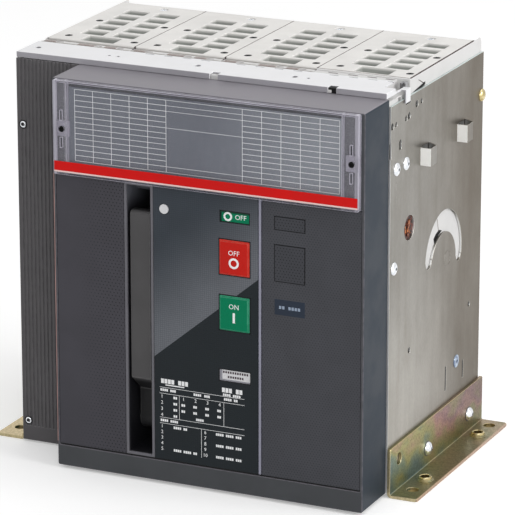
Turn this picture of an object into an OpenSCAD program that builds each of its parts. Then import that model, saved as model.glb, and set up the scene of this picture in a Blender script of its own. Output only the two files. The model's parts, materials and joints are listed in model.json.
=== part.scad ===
// Four-pole air switch disconnector in a fixed mounting, standing on two steel feet.
// Millimetres, +Z up, front faces -Y. The origin is the centre of the outer foot
// holes, on the floor.

/* [Poles and case] */
// Distance between the centres of two neighbouring poles
pole_pitch = 90.5; // [86:0.5:96]
// Gap between neighbouring pole mouldings
pole_gap = 0.5; // [0.3:0.1:1]
// Clearance of a piece that is dropped on or into its seat
seat = 0.3; // [0.2:0.1:0.5]
// Floor to the underside of the mouldings
case_bottom = 12; // [8:1:20]
// Floor to the shoulder that the arc chambers stand on
shoulder_z = 331; // [322:1:333]
// Floor to the rim round the arc chambers
rim_z = 371; // [369:1:373]
// Wall of the rim round an arc chamber
rim_wall = 3; // [2:0.5:4]
// Front of the pole housings, behind the front edge of the side plates
pole_front = 60; // [57:1:64]
// Rear face of the pole housings, behind the front edge of the side plates
pole_rear = 205; // [203:1:210]
// How far the top of the housings reaches back over the terminals
hood_reach = 13.5; // [8:0.5:14]

/* [Side plates] */
// Sheet thickness of the side plates
plate_sheet = 2; // [1.5:0.5:3]
// Depth of the side plates
plate_depth = 219; // [217:1:235]
// Floor to the top edge of the side plates
plate_top = 361; // [352:1:366]
// Outer radius of the crescent slot
crescent_r = 44; // [40:1:48]
// Radius of the tongue inside the crescent slot
tongue_r = 30; // [26:1:31]
// How far the pressed-out hooks stand out of the plate
hook_reach = 10; // [7:0.5:13]

/* [Feet] */
// Sheet thickness of the feet
foot_sheet = 3; // [2.5:0.5:4]
// Height of the foot's upright leg
foot_leg = 46; // [40:1:52]
// Width of the foot's flange, measured from the side plate
foot_reach = 29; // [26:1:34]
// Radius of the foot's fixing holes
foot_hole_r = 5.5; // [4.5:0.25:6]
// Front fixing hole, behind the front edge of the side plates
foot_hole_front = 21; // [18:1:26]
// Distance from the front fixing hole to the rear one
foot_hole_span = 188; // [180:1:192]
// Distance from a fixing hole to the collared hole beside it
collar_hole_step = 29; // [24:1:40]

/* [Arc chambers] */
// Front edge of the chamber lids, behind the front edge of the side plates
chamber_front = 51; // [50.5:0.5:54]
// Length of a chamber lid, front to rear
chamber_len = 151; // [146:1:152]
// Thickness of a chamber lid
lid_t = 4; // [3:0.5:6]
// Width of a vent window
window_w = 23; // [18:0.5:25]
// Length of a vent window, front to rear
window_l = 15; // [11:0.5:16]
// Distance between two vent windows, front to rear
window_pitch = 21.2; // [20:0.2:22]
// Depth of the vent windows
window_depth = 7; // [5:0.5:10]
// Bar between the two columns of vent windows
window_bar = 8.5; // [7:0.5:12]

/* [Rear terminals] */
// Width of a terminal bar
bar_w = 60; // [50:1:64]
// Thickness of a terminal bar
bar_t = 10; // [8:1:12]
// How far a terminal bar stands out of the pole housing
bar_out = 36; // [30:1:40]
// Height of the upper row of terminals above the floor
upper_bar_z = 268; // [255:1:280]
// Height of the lower row of terminals above the floor
lower_bar_z = 112; // [100:1:125]
// Radius of the holes in a terminal bar
bar_hole_r = 6.5; // [5:0.5:7]
// Distance between the two holes of a terminal bar
bar_hole_span = 30; // [26:1:34]

/* [Front frame] */
// Width of the front frame
frame_w = 302; // [300:1:304]
// How far the front frame stands out in front of the side plates
frame_depth = 53.5; // [50:0.5:58]
// Floor to the underside of the front frame
frame_bottom = 3; // [2:0.5:6]
// Floor to the top of the front frame
frame_top = 368; // [366:1:369]
// Wall of the front frame
frame_wall = 2.5; // [2:0.25:3]
// Height of the plain apron under the panels
apron_h = 20; // [16:1:24]
// Thickness of the front panels
panel_t = 3; // [2.5:0.5:4]
// Gap along the edges of the panels
panel_gap = 0.6; // [0.4:0.1:1]
// Height of the groove between the apron and the panels
groove_h = 1.4; // [1:0.1:2]

/* [Clear cover] */
// Height of the clear cover at the top of the front
cover_h = 87; // [80:1:95]
// How far the clear cover stands out of the front frame
cover_proud = 6; // [4:0.5:8]
// Wall of the clear cover
cover_wall = 2; // [1.5:0.25:2.5]
// Distance from the frame's side to the clear cover's side
cover_inset = 3.2; // [2.8:0.1:4]
// Height of the coloured stripe along the cover's lower edge
stripe_h = 8.5; // [6:0.5:11]

/* [Charging lever] */
// Distance from the frame's left side to the middle of the lever
lever_x = 84.2; // [82:0.1:86]
// Width of the lever
lever_w = 20; // [18:0.5:22]
// Gap on each side of the lever
lever_gap = 1.8; // [1.5:0.1:3]
// Wall of the lever's pocket
pocket_wall = 2.5; // [2:0.25:3]
// Depth of the lever's pocket behind the front face
pocket_depth = 47; // [45:1:49]
// Floor to the top end of the lever
lever_top = 253.5; // [245:0.5:262]
// Floor to the lever's hinge pin
lever_pin_z = 52; // [50:1:60]
// Radius of the lever's hinge pin
lever_pin_r = 4; // [3:0.25:5]
// Play between the lever and its hinge pin
pin_play = 0.08; // [0.05:0.01:0.1]

/* [Push buttons] */
// Distance from the frame's left side to the middle of the buttons
button_x = 178.3; // [175:0.5:182]
// Width of a push button
button_w = 29; // [26:0.5:31]
// Height of a push button
button_h = 32; // [28:0.5:34]
// Gap round a push button
button_gap = 0.5; // [0.4:0.05:0.8]
// Height of the opening button's middle above the floor
off_button_z = 223; // [218:1:228]
// Height of the closing button's middle above the floor
on_button_z = 171.5; // [166:0.5:176]
// How far a button goes in
button_travel = 4; // [3:0.5:5]

/* [Hidden] */
$fn = 48;
poles = 4;
cut = 0.1;                                   // overshoot of a cutting shape

// Side plates and feet
plate_in = poles * pole_pitch / 2;           // inner face of a side plate, from the middle
plate_out = plate_in + plate_sheet;
foot_hole_x = plate_out + 16;
case_front = -(foot_hole_front + foot_hole_span / 2);
foot_len = plate_depth + 5;
foot_z = foot_sheet;                         // underside of the plates, on the flange

// Front frame and what it holds, from the middle and from the plates' front edge
frame_right = plate_out - 1.5;
frame_left = frame_right - frame_w;
face_y = -frame_depth;
panel_bottom = frame_bottom + apron_h + groove_h;
cover_bottom = frame_top - cover_h;
panel_top = cover_bottom - panel_gap;
ledge = 4;                                   // shelf in the frame that the panels lie on
ledge_t = 3;
panel_left = frame_left + frame_wall + seat;
panel_right = frame_right - frame_wall - seat;
pocket_x = frame_left + lever_x;
pocket_w = lever_w + 2 * lever_gap;
pocket_half = pocket_w / 2 + pocket_wall;
centre_left = pocket_x + pocket_half + seat;
centre_right = centre_left + 102;
strip_w = 2.4;
right_left = centre_right + strip_w + 2 * panel_gap + 0.4;
buttons_at = frame_left + button_x;

// Windows, disc and knock-outs in the panels: [left, bottom, width, height]
position_place = [buttons_at - 13.8, 255.5, 28, 9.5];
spring_place = [buttons_at - 15, 107.7, 30, 10.6];
small_knockout_place = [right_left + 12.2, 254.5, 28.5, 11.5];
large_knockout_place = [right_left + 12.2, 207.3, 28.5, 33];
disc_r = 4.4;
disc_place = [centre_left + 10.6, 259.5];

// Mechanism behind the front
mech_front = -36;                            // front of the mechanism inside the frame
groove_half = pocket_half + seat;
stem_r = 5;
stem_len = 20;                                // bore in the mechanism for a button
cap_depth = 8;
button_proud = 1.8;

function pole_x(i) = (i - (poles + 1) / 2) * pole_pitch;

module at_case() {
    translate([0, case_front, 0]) children();
}

// Block between two corners
module block(low, high) {
    translate(low) cube(high - low);
}

// Block standing between two depths, drawn as a plate [left, bottom, width, height]
module plate_block(place, y0, y1) {
    block([place[0], y0, place[1]], [place[0] + place[2], y1, place[1] + place[3]]);
}

// Outline drawn over depth and height, made solid across the width from x0 to x1
module across(x0, x1) {
    translate([x0, 0, 0]) rotate([90, 0, 90]) linear_extrude(x1 - x0) children();
}

// Outline drawn over width and height, made solid from depth y0 to depth y1
module deep(y0, y1) {
    translate([0, y1, 0]) rotate([90, 0, 0]) linear_extrude(y1 - y0) children();
}

// Rectangle with true round corners
module round_rect(w, h, r) {
    translate([r, 0]) square([w - 2 * r, h]);
    translate([0, r]) square([w, h - 2 * r]);
    for (x = [r, w - r], y = [r, h - r]) translate([x, y]) circle(r);
}

// ---------------------------------------------------------------- side plates

crescent = [127, 190];                       // middle of the crescent slot: depth, height
tongue_drop = 7;
hook_h = 16.5;
hook_flat = 14;                              // depth of the hook's outer face
hook_len = 23;                               // depth of the hook along the plate
hook_wall = 1.2;
hook_places = [[68.5, 291], [156, 291]];
contact_place = [44.5, 240];                 // earth contact seen through the plate
contact_hole_r = 11.5;
// Small holes: [depth, height, radius]
small_holes = [[3.5, 342.5, 3.2], [12, 342.5, 2.4], [34.6, 342.5, 2.6], [41.6, 343.3, 3.2],
               [59, 350, 3.2], [70, 350, 2.4], [47.5, 124.5, 2.8], [192, 125.7, 2.6]];
keyhole = [22, 320];
keyhole_r = 3;
keyhole_rise = 3.5;
slot_w = 2.8;
// Upright slots: [depth, height, length]
upright_slots = [[135, 58, 23.5], [177.5, 58, 17]];
tab_slot = [33.5, 355];                      // opening that the beam's tab points at

// Sickle-shaped opening, cut off level at its two ends
module crescent_outline() {
    difference() {
        translate(crescent) circle(crescent_r, $fn = 96);
        translate(crescent - [0, tongue_drop]) circle(tongue_r, $fn = 96);
        translate(crescent - [crescent_r + 1, crescent_r + 1])
            square([crescent_r + 1, crescent_r + 6]);
        translate(crescent - [1, crescent_r + 1])
            square([crescent_r + 3, crescent_r - 7]);
    }
    // rounded ends of the opening
    translate(crescent + [-35.6, 5]) circle(7.2);
    translate(crescent + [36.4, -8]) circle(5.8);
}

module plate_outline() {
    difference() {
        translate([0, foot_z]) square([plate_depth, plate_top - foot_z]);
        crescent_outline();
        for (p = small_holes) translate([p[0], p[1]]) circle(p[2]);
        for (rise = [0, keyhole_rise]) translate(keyhole + [0, rise]) circle(keyhole_r);
        translate(keyhole - [keyhole_r - 0.4, 0]) square([2 * keyhole_r - 0.8, keyhole_rise]);
        translate(contact_place) circle(contact_hole_r);
        for (p = hook_places) translate(p + [hook_wall, 0])
            square([hook_len - 2 * hook_wall, hook_h]);
        for (p = upright_slots) translate([p[0], p[1]]) square([slot_w, p[2]]);
        translate(tab_slot) square([11.5, 2]);
        translate([-1, 314]) square([2.5, 13]);
    }
}

// Plan of a hook, over its reach and its depth along the plate
module hook_plan(inset) {
    reach = plate_sheet + hook_reach - inset;
    polygon([[0, inset], [reach, inset], [reach, hook_flat - inset / 2],
             [0, hook_len - inset]]);
}

// Pressed-out bridge over its own opening, open above and below
module hook(p) {
    translate([plate_in, p[0], p[1]]) difference() {
        linear_extrude(hook_h) hook_plan(0);
        translate([-cut, 0, -cut]) linear_extrude(hook_h + 2 * cut) hook_plan(hook_wall);
    }
}

module right_side_plate() {
    color("silver") at_case() {
        across(plate_in, plate_out) plate_outline();
        for (p = hook_places) hook(p);
    }
}

module left_side_plate() {
    mirror([1, 0, 0]) right_side_plate();
}

// ----------------------------------------------------------------------- feet

collar_r = foot_hole_r + 2;
collar_h = 1.5;

// Folded section over width and height, with a round fold
module foot_section() {
    fold_r = foot_sheet + 1;
    translate([0, fold_r]) square([foot_sheet, foot_leg - fold_r]);
    translate([fold_r, 0]) square([foot_reach - fold_r, foot_sheet]);
    intersection() {
        difference() {
            translate([fold_r, fold_r]) circle(fold_r);
            translate([fold_r, fold_r]) circle(fold_r - foot_sheet);
        }
        square(fold_r);
    }
}

module right_foot() {
    bevel = 1.5;
    rear_hole = foot_hole_front + foot_hole_span;
    color("darkkhaki") at_case() difference() {
        union() {
            translate([plate_out, -1, 0]) translate([0, foot_len, 0])
                rotate([90, 0, 0]) linear_extrude(foot_len) foot_section();
            for (y = [foot_hole_front + collar_hole_step, rear_hole - collar_hole_step])
                translate([foot_hole_x, y, foot_sheet - cut]) cylinder(r = collar_r, h = collar_h + cut);
        }
        for (y = [foot_hole_front, rear_hole, foot_hole_front + collar_hole_step,
                  rear_hole - collar_hole_step])
            translate([foot_hole_x, y, -cut])
                cylinder(r = foot_hole_r, h = foot_sheet + collar_h + 2 * cut);
        translate([plate_out - cut, 20, 31]) rotate([0, 90, 0])
            cylinder(r = foot_hole_r, h = foot_sheet + 2 * cut);
        for (y = [-1, foot_len - 1]) {
            translate([plate_out + foot_reach, y, foot_sheet / 2]) rotate(45)
                cube([2 * bevel, 2 * bevel, foot_sheet + 2], center = true);
            translate([plate_out + foot_sheet / 2, y, foot_leg]) rotate([45, 0, 0])
                cube([foot_sheet + 2, bevel, bevel], center = true);
        }
    }
}

// The same foot on the other side, its upright leg cut back behind the ribbed cover
module left_foot() {
    color("darkkhaki") difference() {
        mirror([1, 0, 0]) right_foot();
        at_case() block([-plate_out - foot_sheet - cut, -2, 2 * foot_sheet],
                        [-plate_out + cut, 8, foot_leg + cut]);
    }
}

// ------------------------------------------------------------------- top beam

beam_sheet = 1.5;
beam_z = rim_z + 1;                          // underside of the beam
beam_top = beam_z + beam_sheet;
beam_back = 40;
beam_left = -plate_out;
beam_right = plate_in - 1;
lip_y = -3;
lip_z = frame_top + seat;
tab_y = 29;
tab_w = 10.5;
tab_low = 357.4;
notch_y = 17;                                // notch in the beam's right rear corner
notch_w = 11;
step_z = 365;                                // housing under that notch
beam_hole_y = 18;
big_holes = [-172, -11.5, 83];
pin_holes = [-100, -91, 96];

module top_beam() {
    tab_x = plate_out + seat;
    color("gainsboro") at_case() {
        difference() {
            union() {
                block([beam_left, lip_y, beam_z], [beam_right, beam_back, beam_top]);
                block([beam_left, lip_y, lip_z], [beam_right, lip_y + beam_sheet, beam_top]);
            }
            block([beam_right - notch_w, notch_y, beam_z - cut],
                  [beam_right + cut, beam_back + cut, beam_top + cut]);
            for (x = [10, 124])
                block([x, lip_y - cut, frame_top], [x + 8, lip_y + 7, beam_top + cut]);
            for (x = big_holes) translate([x, beam_hole_y, beam_z - cut])
                cylinder(r = 3, h = beam_sheet + 2 * cut);
            for (x = pin_holes) translate([x, beam_hole_y, beam_z - cut])
                cylinder(r = 1.8, h = beam_sheet + 2 * cut);
            for (pole = [2 : poles], k = [0 : 3])
                block([pole_x(pole) - 28 + 18.5 * k, beam_back - 3.4, beam_z - cut],
                      [pole_x(pole) - 19 + 18.5 * k, beam_back - 1.6, beam_top + cut]);
        }
        // right end folded down, with a low rail that carries the tab over the plate
        block([beam_right - beam_sheet, lip_y, lip_z], [beam_right, notch_y, beam_top]);
        block([beam_right - beam_sheet, notch_y - 2, lip_z],
              [beam_right, tab_y + tab_w, lip_z + beam_sheet]);
        block([beam_right - cut, tab_y, lip_z], [tab_x + beam_sheet, tab_y + tab_w, lip_z + beam_sheet]);
        block([tab_x, tab_y, tab_low], [tab_x + beam_sheet, tab_y + tab_w, lip_z + beam_sheet]);
    }
}

// Small catch beside the beam's notch, with a slot in its face
module beam_clip() {
    low = [plate_in - 7, beam_back + 0.5, step_z + seat];
    high = [plate_in - 1.6, chamber_front - 3.8, beam_z + 0.5];
    color("lightgrey") at_case() difference() {
        block(low, high);
        block([low[0] + 1.6, low[1] - cut, high[2] - 3.5], [high[0] - 1.6, low[1] + 3, high[2] + cut]);
    }
}

// ---------------------------------------------------------------- mechanism

module mechanism_housing() {
    side = plate_in - seat;
    back = pole_front - seat;
    inner_left = frame_left + frame_wall + ledge + seat;
    inner_right = frame_right - frame_wall - ledge - seat;
    rear = chamber_front - rim_wall - seat;
    step_x = beam_right - notch_w - seat;
    color("whitesmoke") at_case() difference() {
        union() {
            block([-side, seat, case_bottom], [side, back, shoulder_z - seat]);
            block([-side, seat, shoulder_z - seat - cut], [step_x, rear, beam_z - seat]);
            block([step_x - cut, seat, shoulder_z - seat - cut], [side, rear, step_z]);
            // pad that fills up to the last chamber's lid, behind the beam
            block([pole_x(poles - 0.5), beam_back + seat, beam_z - seat - cut],
                  [step_x, rear, beam_top]);
            block([inner_left, mech_front, panel_bottom + 4],
                  [inner_right, seat + cut, frame_top - frame_wall - ledge]);
        }
        block([pocket_x - groove_half, mech_front - cut, panel_bottom - 4],
              [pocket_x + groove_half, face_y + pocket_depth + pocket_wall + seat, panel_top + 8]);
        for (z = [off_button_z, on_button_z])
            translate([buttons_at, mech_front + stem_len, z]) rotate([90, 0, 0])
                cylinder(r = stem_r + pin_play, h = stem_len + cut);
        translate([side - 10, contact_place[0], contact_place[1]]) rotate([0, 90, 0])
            cylinder(r = contact_hole_r + 2, h = 10 + cut);
        // opening beside the beam's tab
        block([side - 6, tab_y - 7.5, plate_top - 1], [side + cut, tab_y - 0.5, step_z - 1.2]);
    }
}

module earth_contact() {
    side = plate_in - seat;
    color("peru") at_case()
        translate([side - 10, contact_place[0], contact_place[1]]) rotate([0, 90, 0]) {
            cylinder(r = contact_hole_r, h = 2);
            cylinder(r = 8, h = 4.5);
            difference() {
                cylinder(r = 5, h = 7);
                translate([0, 0, 3]) cylinder(r = 2.5, h = 5);
            }
        }
}

// -------------------------------------------------------------- pole housings

throat_depth = 18;
throat_gap = 3;
barrier_d = 6;                               // groove between neighbouring poles at the rear
ridge_w = 1;                                 // ridge beside the lid of an end pole

module pole_housing(i) {
    half = (pole_pitch - pole_gap) / 2;
    rim_front = chamber_front - rim_wall;
    rim_rear = pole_rear + hood_reach;
    lid_top = rim_z + lid_t;
    color("whitesmoke") at_case() translate([pole_x(i), 0, 0]) difference() {
        union() {
            block([-half, pole_front, case_bottom], [half, pole_rear, shoulder_z]);
            block([-half, rim_front, shoulder_z], [half, rim_rear, rim_z - seat]);
            // ridge in front of the lid, level with it on the last pole
            block([-half, rim_front, rim_z - seat - cut],
                  [half, chamber_front - 0.4, i == poles ? lid_top - seat : rim_z + lid_t / 2]);
            // sloping ridge along the lid of an end pole
            if (i == poles) deep(rim_front, rim_rear)
                polygon([[half - ridge_w, rim_z - 1], [half, rim_z - 1], [half, rim_z - seat],
                         [half - ridge_w, lid_top - seat]]);
            if (i == 1) deep(rim_front, rim_rear)
                polygon([[ridge_w - half, rim_z - 1], [-half, rim_z - 1], [-half, rim_z - seat],
                         [ridge_w - half, lid_top - seat]]);
        }
        // wedge-shaped opening above the plate, and pockets behind the hooks
        if (i == poles) {
            across(half - 6, half + 1)
                polygon([[54, plate_top], [82, plate_top - 1], [82, plate_top + 3.4]]);
            for (p = hook_places) block([half - 6, p[0] - 1, p[1] - 2],
                                        [half + 1, p[0] + hook_len + 1, p[1] + hook_h + 2]);
        }
        if (i == 1) for (p = hook_places)
            block([-half - 1, p[0] - 1, p[1] - 2], [6 - half, p[0] + hook_len + 1, p[1] + hook_h + 2]);
        block([-half + rim_wall, chamber_front + rim_wall, shoulder_z],
              [half - rim_wall, chamber_front + chamber_len - rim_wall, rim_z]);
        for (z = [upper_bar_z, lower_bar_z])
            block([-bar_w / 2 - throat_gap, pole_rear - throat_depth, z - bar_t / 2 - throat_gap],
                  [bar_w / 2 + throat_gap, pole_rear + cut, z + bar_t / 2 + throat_gap]);
        for (x = [-half, half])
            block([x - 3, pole_rear - barrier_d, case_bottom - cut],
                  [x + 3, pole_rear + cut, upper_bar_z + 40]);
        for (z = [150 : 14 : 220])
            block([-26, pole_rear - 4, z], [26, pole_rear + cut, z + 6]);
        if (i == poles)
            translate([half - 5, crescent[0], crescent[1]]) rotate([0, 90, 0])
                cylinder(r = crescent_r + 3, h = 6);
        if (i == 1)
            translate([-half - 1, crescent[0], crescent[1]]) rotate([0, 90, 0])
                cylinder(r = crescent_r + 3, h = 6);
    }
}

// --------------------------------------------------------------- arc chambers

screw_hole_r = 3.6;
lid_inset = ridge_w + 0.6;                   // gap for the ridge beside an end pole's lid

module arc_chamber(i) {
    half = (pole_pitch - pole_gap) / 2;
    body_half = half - rim_wall - seat;
    lid_top = rim_z + lid_t;
    shift = 4;                               // the windows sit to the right of the middle
    rear = chamber_front + chamber_len;
    color("gainsboro") at_case() translate([pole_x(i), 0, 0]) difference() {
        union() {
            translate([-half + (i == 1 ? lid_inset : 0), chamber_front, rim_z])
                linear_extrude(lid_t)
                    round_rect(2 * half - (i == 1 || i == poles ? lid_inset : 0), chamber_len, 2);
            block([-body_half, chamber_front + rim_wall + seat, shoulder_z + seat],
                  [body_half, rear - rim_wall - seat, rim_z + cut]);
        }
        for (col = [-1, 0], row = [0 : 4])
            translate([shift + window_bar / 2 + col * (window_w + window_bar),
                       chamber_front + 25 + row * window_pitch, lid_top - window_depth])
                linear_extrude(window_depth + cut) round_rect(window_w, window_l, 1.5);
        translate([shift - 16, chamber_front + 2, lid_top - window_depth])
            linear_extrude(window_depth + cut) round_rect(34, 19.5, 1.5);
        for (x = [-33.5, 33.5], y = [14.5, 77])
            translate([shift + x, chamber_front + y, lid_top - 6])
                cylinder(r = screw_hole_r, h = 6 + cut);
        translate([shift + 2, rear - 11, lid_top - 1.2]) cylinder(r = 4.5, h = 2);
    }
}

// ------------------------------------------------------------------ terminals

module terminal(i, z) {
    color("silver") at_case() translate([pole_x(i), 0, z]) difference() {
        block([-bar_w / 2, pole_rear - throat_depth, -bar_t / 2],
              [bar_w / 2, pole_rear + bar_out, bar_t / 2]);
        for (x = [-0.5, 0.5]) translate([x * bar_hole_span, pole_rear + bar_out - 16, -bar_t / 2 - cut])
            cylinder(r = bar_hole_r, h = bar_t + 2 * cut);
    }
}

// Two folded cross members that tie the side plates together under the case
module bottom_ties() {
    half = plate_in - seat;
    color("silver") at_case() for (y = [8, plate_depth - 38]) {
        block([-half, y, 4], [half, y + 26, 5.5]);
        block([-half, y, 4], [half, y + 1.5, case_bottom - seat]);
        block([-half, y + 24.5, 4], [half, y + 26, case_bottom - seat]);
    }
}

// ---------------------------------------------------------------- front frame

edge_r = 2;

module frame_outline(grow) {
    translate([frame_left - grow, frame_bottom - grow])
        round_rect(frame_w + 2 * grow, frame_top - frame_bottom + 2 * grow, edge_r);
}

module front_frame() {
    back = -seat;
    inner_left = frame_left + frame_wall;
    inner_right = frame_right - frame_wall;
    inner_top = frame_top - frame_wall;
    ledge_front = face_y + panel_t + seat;
    color("slategrey") at_case() difference() {
        deep(face_y, back) frame_outline(0);
        // room for the panels, from the apron up to the wall behind the clear cover
        block([inner_left, face_y - cut, panel_bottom - groove_h],
              [inner_right, ledge_front, cover_bottom]);
        // opening inside a ledge that the panels lie on
        block([inner_left + ledge, ledge_front - cut, panel_bottom + ledge - 1],
              [inner_right - ledge, back + cut, cover_bottom]);
        // notch in the ledge for the lever's pocket
        block([pocket_x - pocket_half - seat, ledge_front - cut, panel_bottom - groove_h],
              [pocket_x + pocket_half + seat, back + cut, panel_bottom + ledge]);
        block([inner_left, ledge_front + ledge_t, frame_bottom + frame_wall],
              [inner_right, back + cut, inner_top]);
    }
}

module left_panel() {
    color("dimgrey") at_case()
        block([panel_left, face_y, panel_bottom],
              [pocket_x - pocket_half - seat, face_y + panel_t, panel_top]);
}

module centre_panel() {
    color("darkslategrey") at_case() difference() {
        block([centre_left, face_y, panel_bottom], [centre_right, face_y + panel_t, panel_top]);
        for (z = [off_button_z, on_button_z])
            plate_block([buttons_at - button_w / 2 - button_gap, z - button_h / 2 - button_gap,
                         button_w + 2 * button_gap, button_h + 2 * button_gap],
                        face_y - cut, face_y + panel_t + cut);
        for (p = [position_place, spring_place])
            plate_block(p + [-seat, -seat, 2 * seat, 2 * seat], face_y - cut, face_y + panel_t + cut);
        translate([disc_place[0], face_y + 1.5, disc_place[1]]) rotate([90, 0, 0])
            cylinder(r = disc_r + seat, h = 2);
    }
}

module panel_strip() {
    x = centre_right + panel_gap;
    color("slategrey") at_case()
        block([x, face_y, panel_bottom], [x + strip_w, face_y + panel_t, panel_top]);
}

module right_panel() {
    color("dimgrey") at_case() difference() {
        block([right_left, face_y, panel_bottom], [panel_right, face_y + panel_t, panel_top]);
        for (p = [small_knockout_place, large_knockout_place])
            plate_block(p + [-panel_gap, -panel_gap, 2 * panel_gap, 2 * panel_gap],
                        face_y - cut, face_y + panel_t + cut);
    }
}

module small_knockout() {
    color("dimgrey") at_case() plate_block(small_knockout_place, face_y, face_y + panel_t);
}

module large_knockout() {
    color("dimgrey") at_case() plate_block(large_knockout_place, face_y, face_y + panel_t);
}

module position_window() {
    color("seagreen") at_case() plate_block(position_place, face_y + 0.6, face_y + panel_t);
}

module spring_window() {
    color("lightgrey") at_case() plate_block(spring_place, face_y + 0.6, face_y + panel_t);
}

module seal_disc() {
    color("white") at_case() translate([disc_place[0], face_y + 1.5, disc_place[1]])
        rotate([90, 0, 0]) cylinder(r = disc_r, h = 1.8);
}

// -------------------------------------------------------------- push buttons

// Cap with a bevelled face on a round stem that slides in the mechanism
module button(z) {
    bevel = 1.2;
    front = face_y - button_proud;
    translate([buttons_at, front, z]) {
        translate([-button_w / 2, bevel, -button_h / 2])
            cube([button_w, cap_depth - bevel, button_h]);
        translate([-button_w / 2 + bevel, 0, -button_h / 2 + bevel])
            cube([button_w - 2 * bevel, bevel + cut, button_h - 2 * bevel]);
        translate([0, cap_depth - cut, 0]) rotate([-90, 0, 0])
            cylinder(r = stem_r, h = mech_front - front - cap_depth + 10);
    }
}

module off_button() {
    color("crimson") at_case() button(off_button_z);
}

module on_button() {
    color("seagreen") at_case() button(on_button_z);
}

// ------------------------------------------------------------ charging lever

lever_front = face_y + 3;                    // front face of the lever
lever_t = 11;
pin_y = face_y + 30;                         // hinge pin, behind the front face
hub_r = 10;
bend_z = lever_pin_z + 45;                   // where the grip bends back to the hub

module lever_outline() {
    back = lever_front + lever_t;
    round_r = 4;
    flank = hub_r - 0.6;
    difference() {
        union() {
            translate([lever_front, bend_z]) square([lever_t, lever_top - bend_z]);
            polygon([[lever_front, bend_z + 1], [lever_front, bend_z], [pin_y - flank, bend_z - 15],
                     [pin_y - flank, lever_pin_z], [pin_y + flank, lever_pin_z],
                     [pin_y + flank, bend_z - 16], [pin_y + 3, bend_z], [back - 1, bend_z + 16]]);
            translate([pin_y, lever_pin_z]) circle(hub_r);
        }
        translate([lever_front - cut, lever_top - round_r]) difference() {
            square([round_r + cut, round_r + cut]);
            translate([round_r + cut, 0]) circle(round_r);
        }
        translate([pin_y, lever_pin_z]) circle(lever_pin_r + pin_play);
    }
}

module charging_lever() {
    half = lever_w / 2;
    web = 3.5;
    heel = 22;                               // solid grip above the bend
    cap = 12;                                // solid grip under the top end
    color("dimgrey") at_case() difference() {
        across(pocket_x - half, pocket_x + half) lever_outline();
        // hollow behind the grip for the fingers
        across(pocket_x - half + web, pocket_x + half - web)
            translate([lever_front + 4, bend_z + heel])
                square([lever_t, lever_top - bend_z - heel - cap]);
    }
}

module lever_pin() {
    color("silver") at_case()
        translate([pocket_x - pocket_half, pin_y, lever_pin_z]) rotate([0, 90, 0])
            cylinder(r = lever_pin_r, h = 2 * pocket_half);
}

// Trough round the lever, with a bezel at its front and a scooped top
module lever_pocket() {
    y1 = face_y + pocket_depth;
    inner = pocket_w / 2;
    scoop_r = 24;
    color("dimgrey") at_case() difference() {
        block([pocket_x - pocket_half, face_y, panel_bottom],
              [pocket_x + pocket_half, y1 + pocket_wall, panel_top]);
        across(pocket_x - inner, pocket_x + inner) difference() {
            translate([face_y - cut, panel_bottom + pocket_wall])
                square([pocket_depth + cut, panel_top - panel_bottom - 2 * pocket_wall]);
            // scoop under the clear cover, for the fingers
            translate([face_y - cut, panel_top - scoop_r]) difference() {
                square([pocket_depth + 1, scoop_r]);
                translate([2, 0]) circle(scoop_r, $fn = 96);
                translate([scoop_r - 8, -cut]) square([pocket_depth, scoop_r - 12]);
            }
        }
        translate([pocket_x - pocket_half - cut, pin_y, lever_pin_z]) rotate([0, 90, 0])
            cylinder(r = lever_pin_r + pin_play / 2, h = 2 * pocket_half + 2 * cut);
    }
}

// --------------------------------------------------------------- clear cover

cover_left = frame_left + cover_inset;
cover_right = frame_right - cover_inset;
cover_face = face_y - cover_proud;
diagram_t = 1.5;
diagram_left = cover_left + 14;
diagram_right = cover_right - 17;
boss_r = 5;
boss_places = [cover_left + 8, cover_right - 7.5];
boss_z = cover_bottom + 42;
cover_screw_r = 3;
cover_rib = 1;                               // inner walls beside the diagram plate
cover_slot = [1.6, 9];                       // slots above and below the bosses

module clear_cover() {
    back = face_y - seat;
    top = frame_top - 0.5;
    inside = cover_face + cover_wall;
    color("lavender", 0.4) at_case() {
        difference() {
            union() {
                difference() {
                    deep(cover_face, back) translate([cover_left, cover_bottom])
                        round_rect(cover_right - cover_left, top - cover_bottom, 1.5);
                    block([cover_left + cover_wall, inside, cover_bottom + cover_wall],
                          [cover_right - cover_wall, back + cut, top - cover_wall]);
                }
                for (x = boss_places) translate([x, back, boss_z]) rotate([90, 0, 0])
                    cylinder(r = boss_r, h = back - inside + cut);
                for (x = [diagram_left - seat - cover_rib, diagram_right + seat])
                    block([x, inside - cut, cover_bottom + cut],
                          [x + cover_rib, back, top - cut]);
            }
            for (x = boss_places, z = [boss_z - boss_r - 3 - cover_slot[1], boss_z + boss_r + 3])
                block([x - cover_slot[0] / 2, cover_face - cut, z],
                      [x + cover_slot[0] / 2, inside + cut, z + cover_slot[1]]);
            for (x = boss_places) translate([x, back + cut, boss_z]) rotate([90, 0, 0])
                cylinder(r = cover_screw_r, h = back - cover_face + 2 * cut);
        }
    }
}

module diagram_plate() {
    color("lightslategrey") at_case()
        block([diagram_left, face_y - diagram_t, cover_bottom + cover_wall + seat],
              [diagram_right, face_y, frame_top - frame_wall - 4]);
}

module cover_stripe() {
    color("firebrick") at_case()
        block([cover_left + 1, cover_face - 0.6, cover_bottom + 4],
              [cover_right - 1, cover_face, cover_bottom + 4 + stripe_h]);
}

// -------------------------------------------------------------- ribbed cover

rib_pitch = 3.9;
rib_groove = 1.9;
rib_foot = 13;

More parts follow.
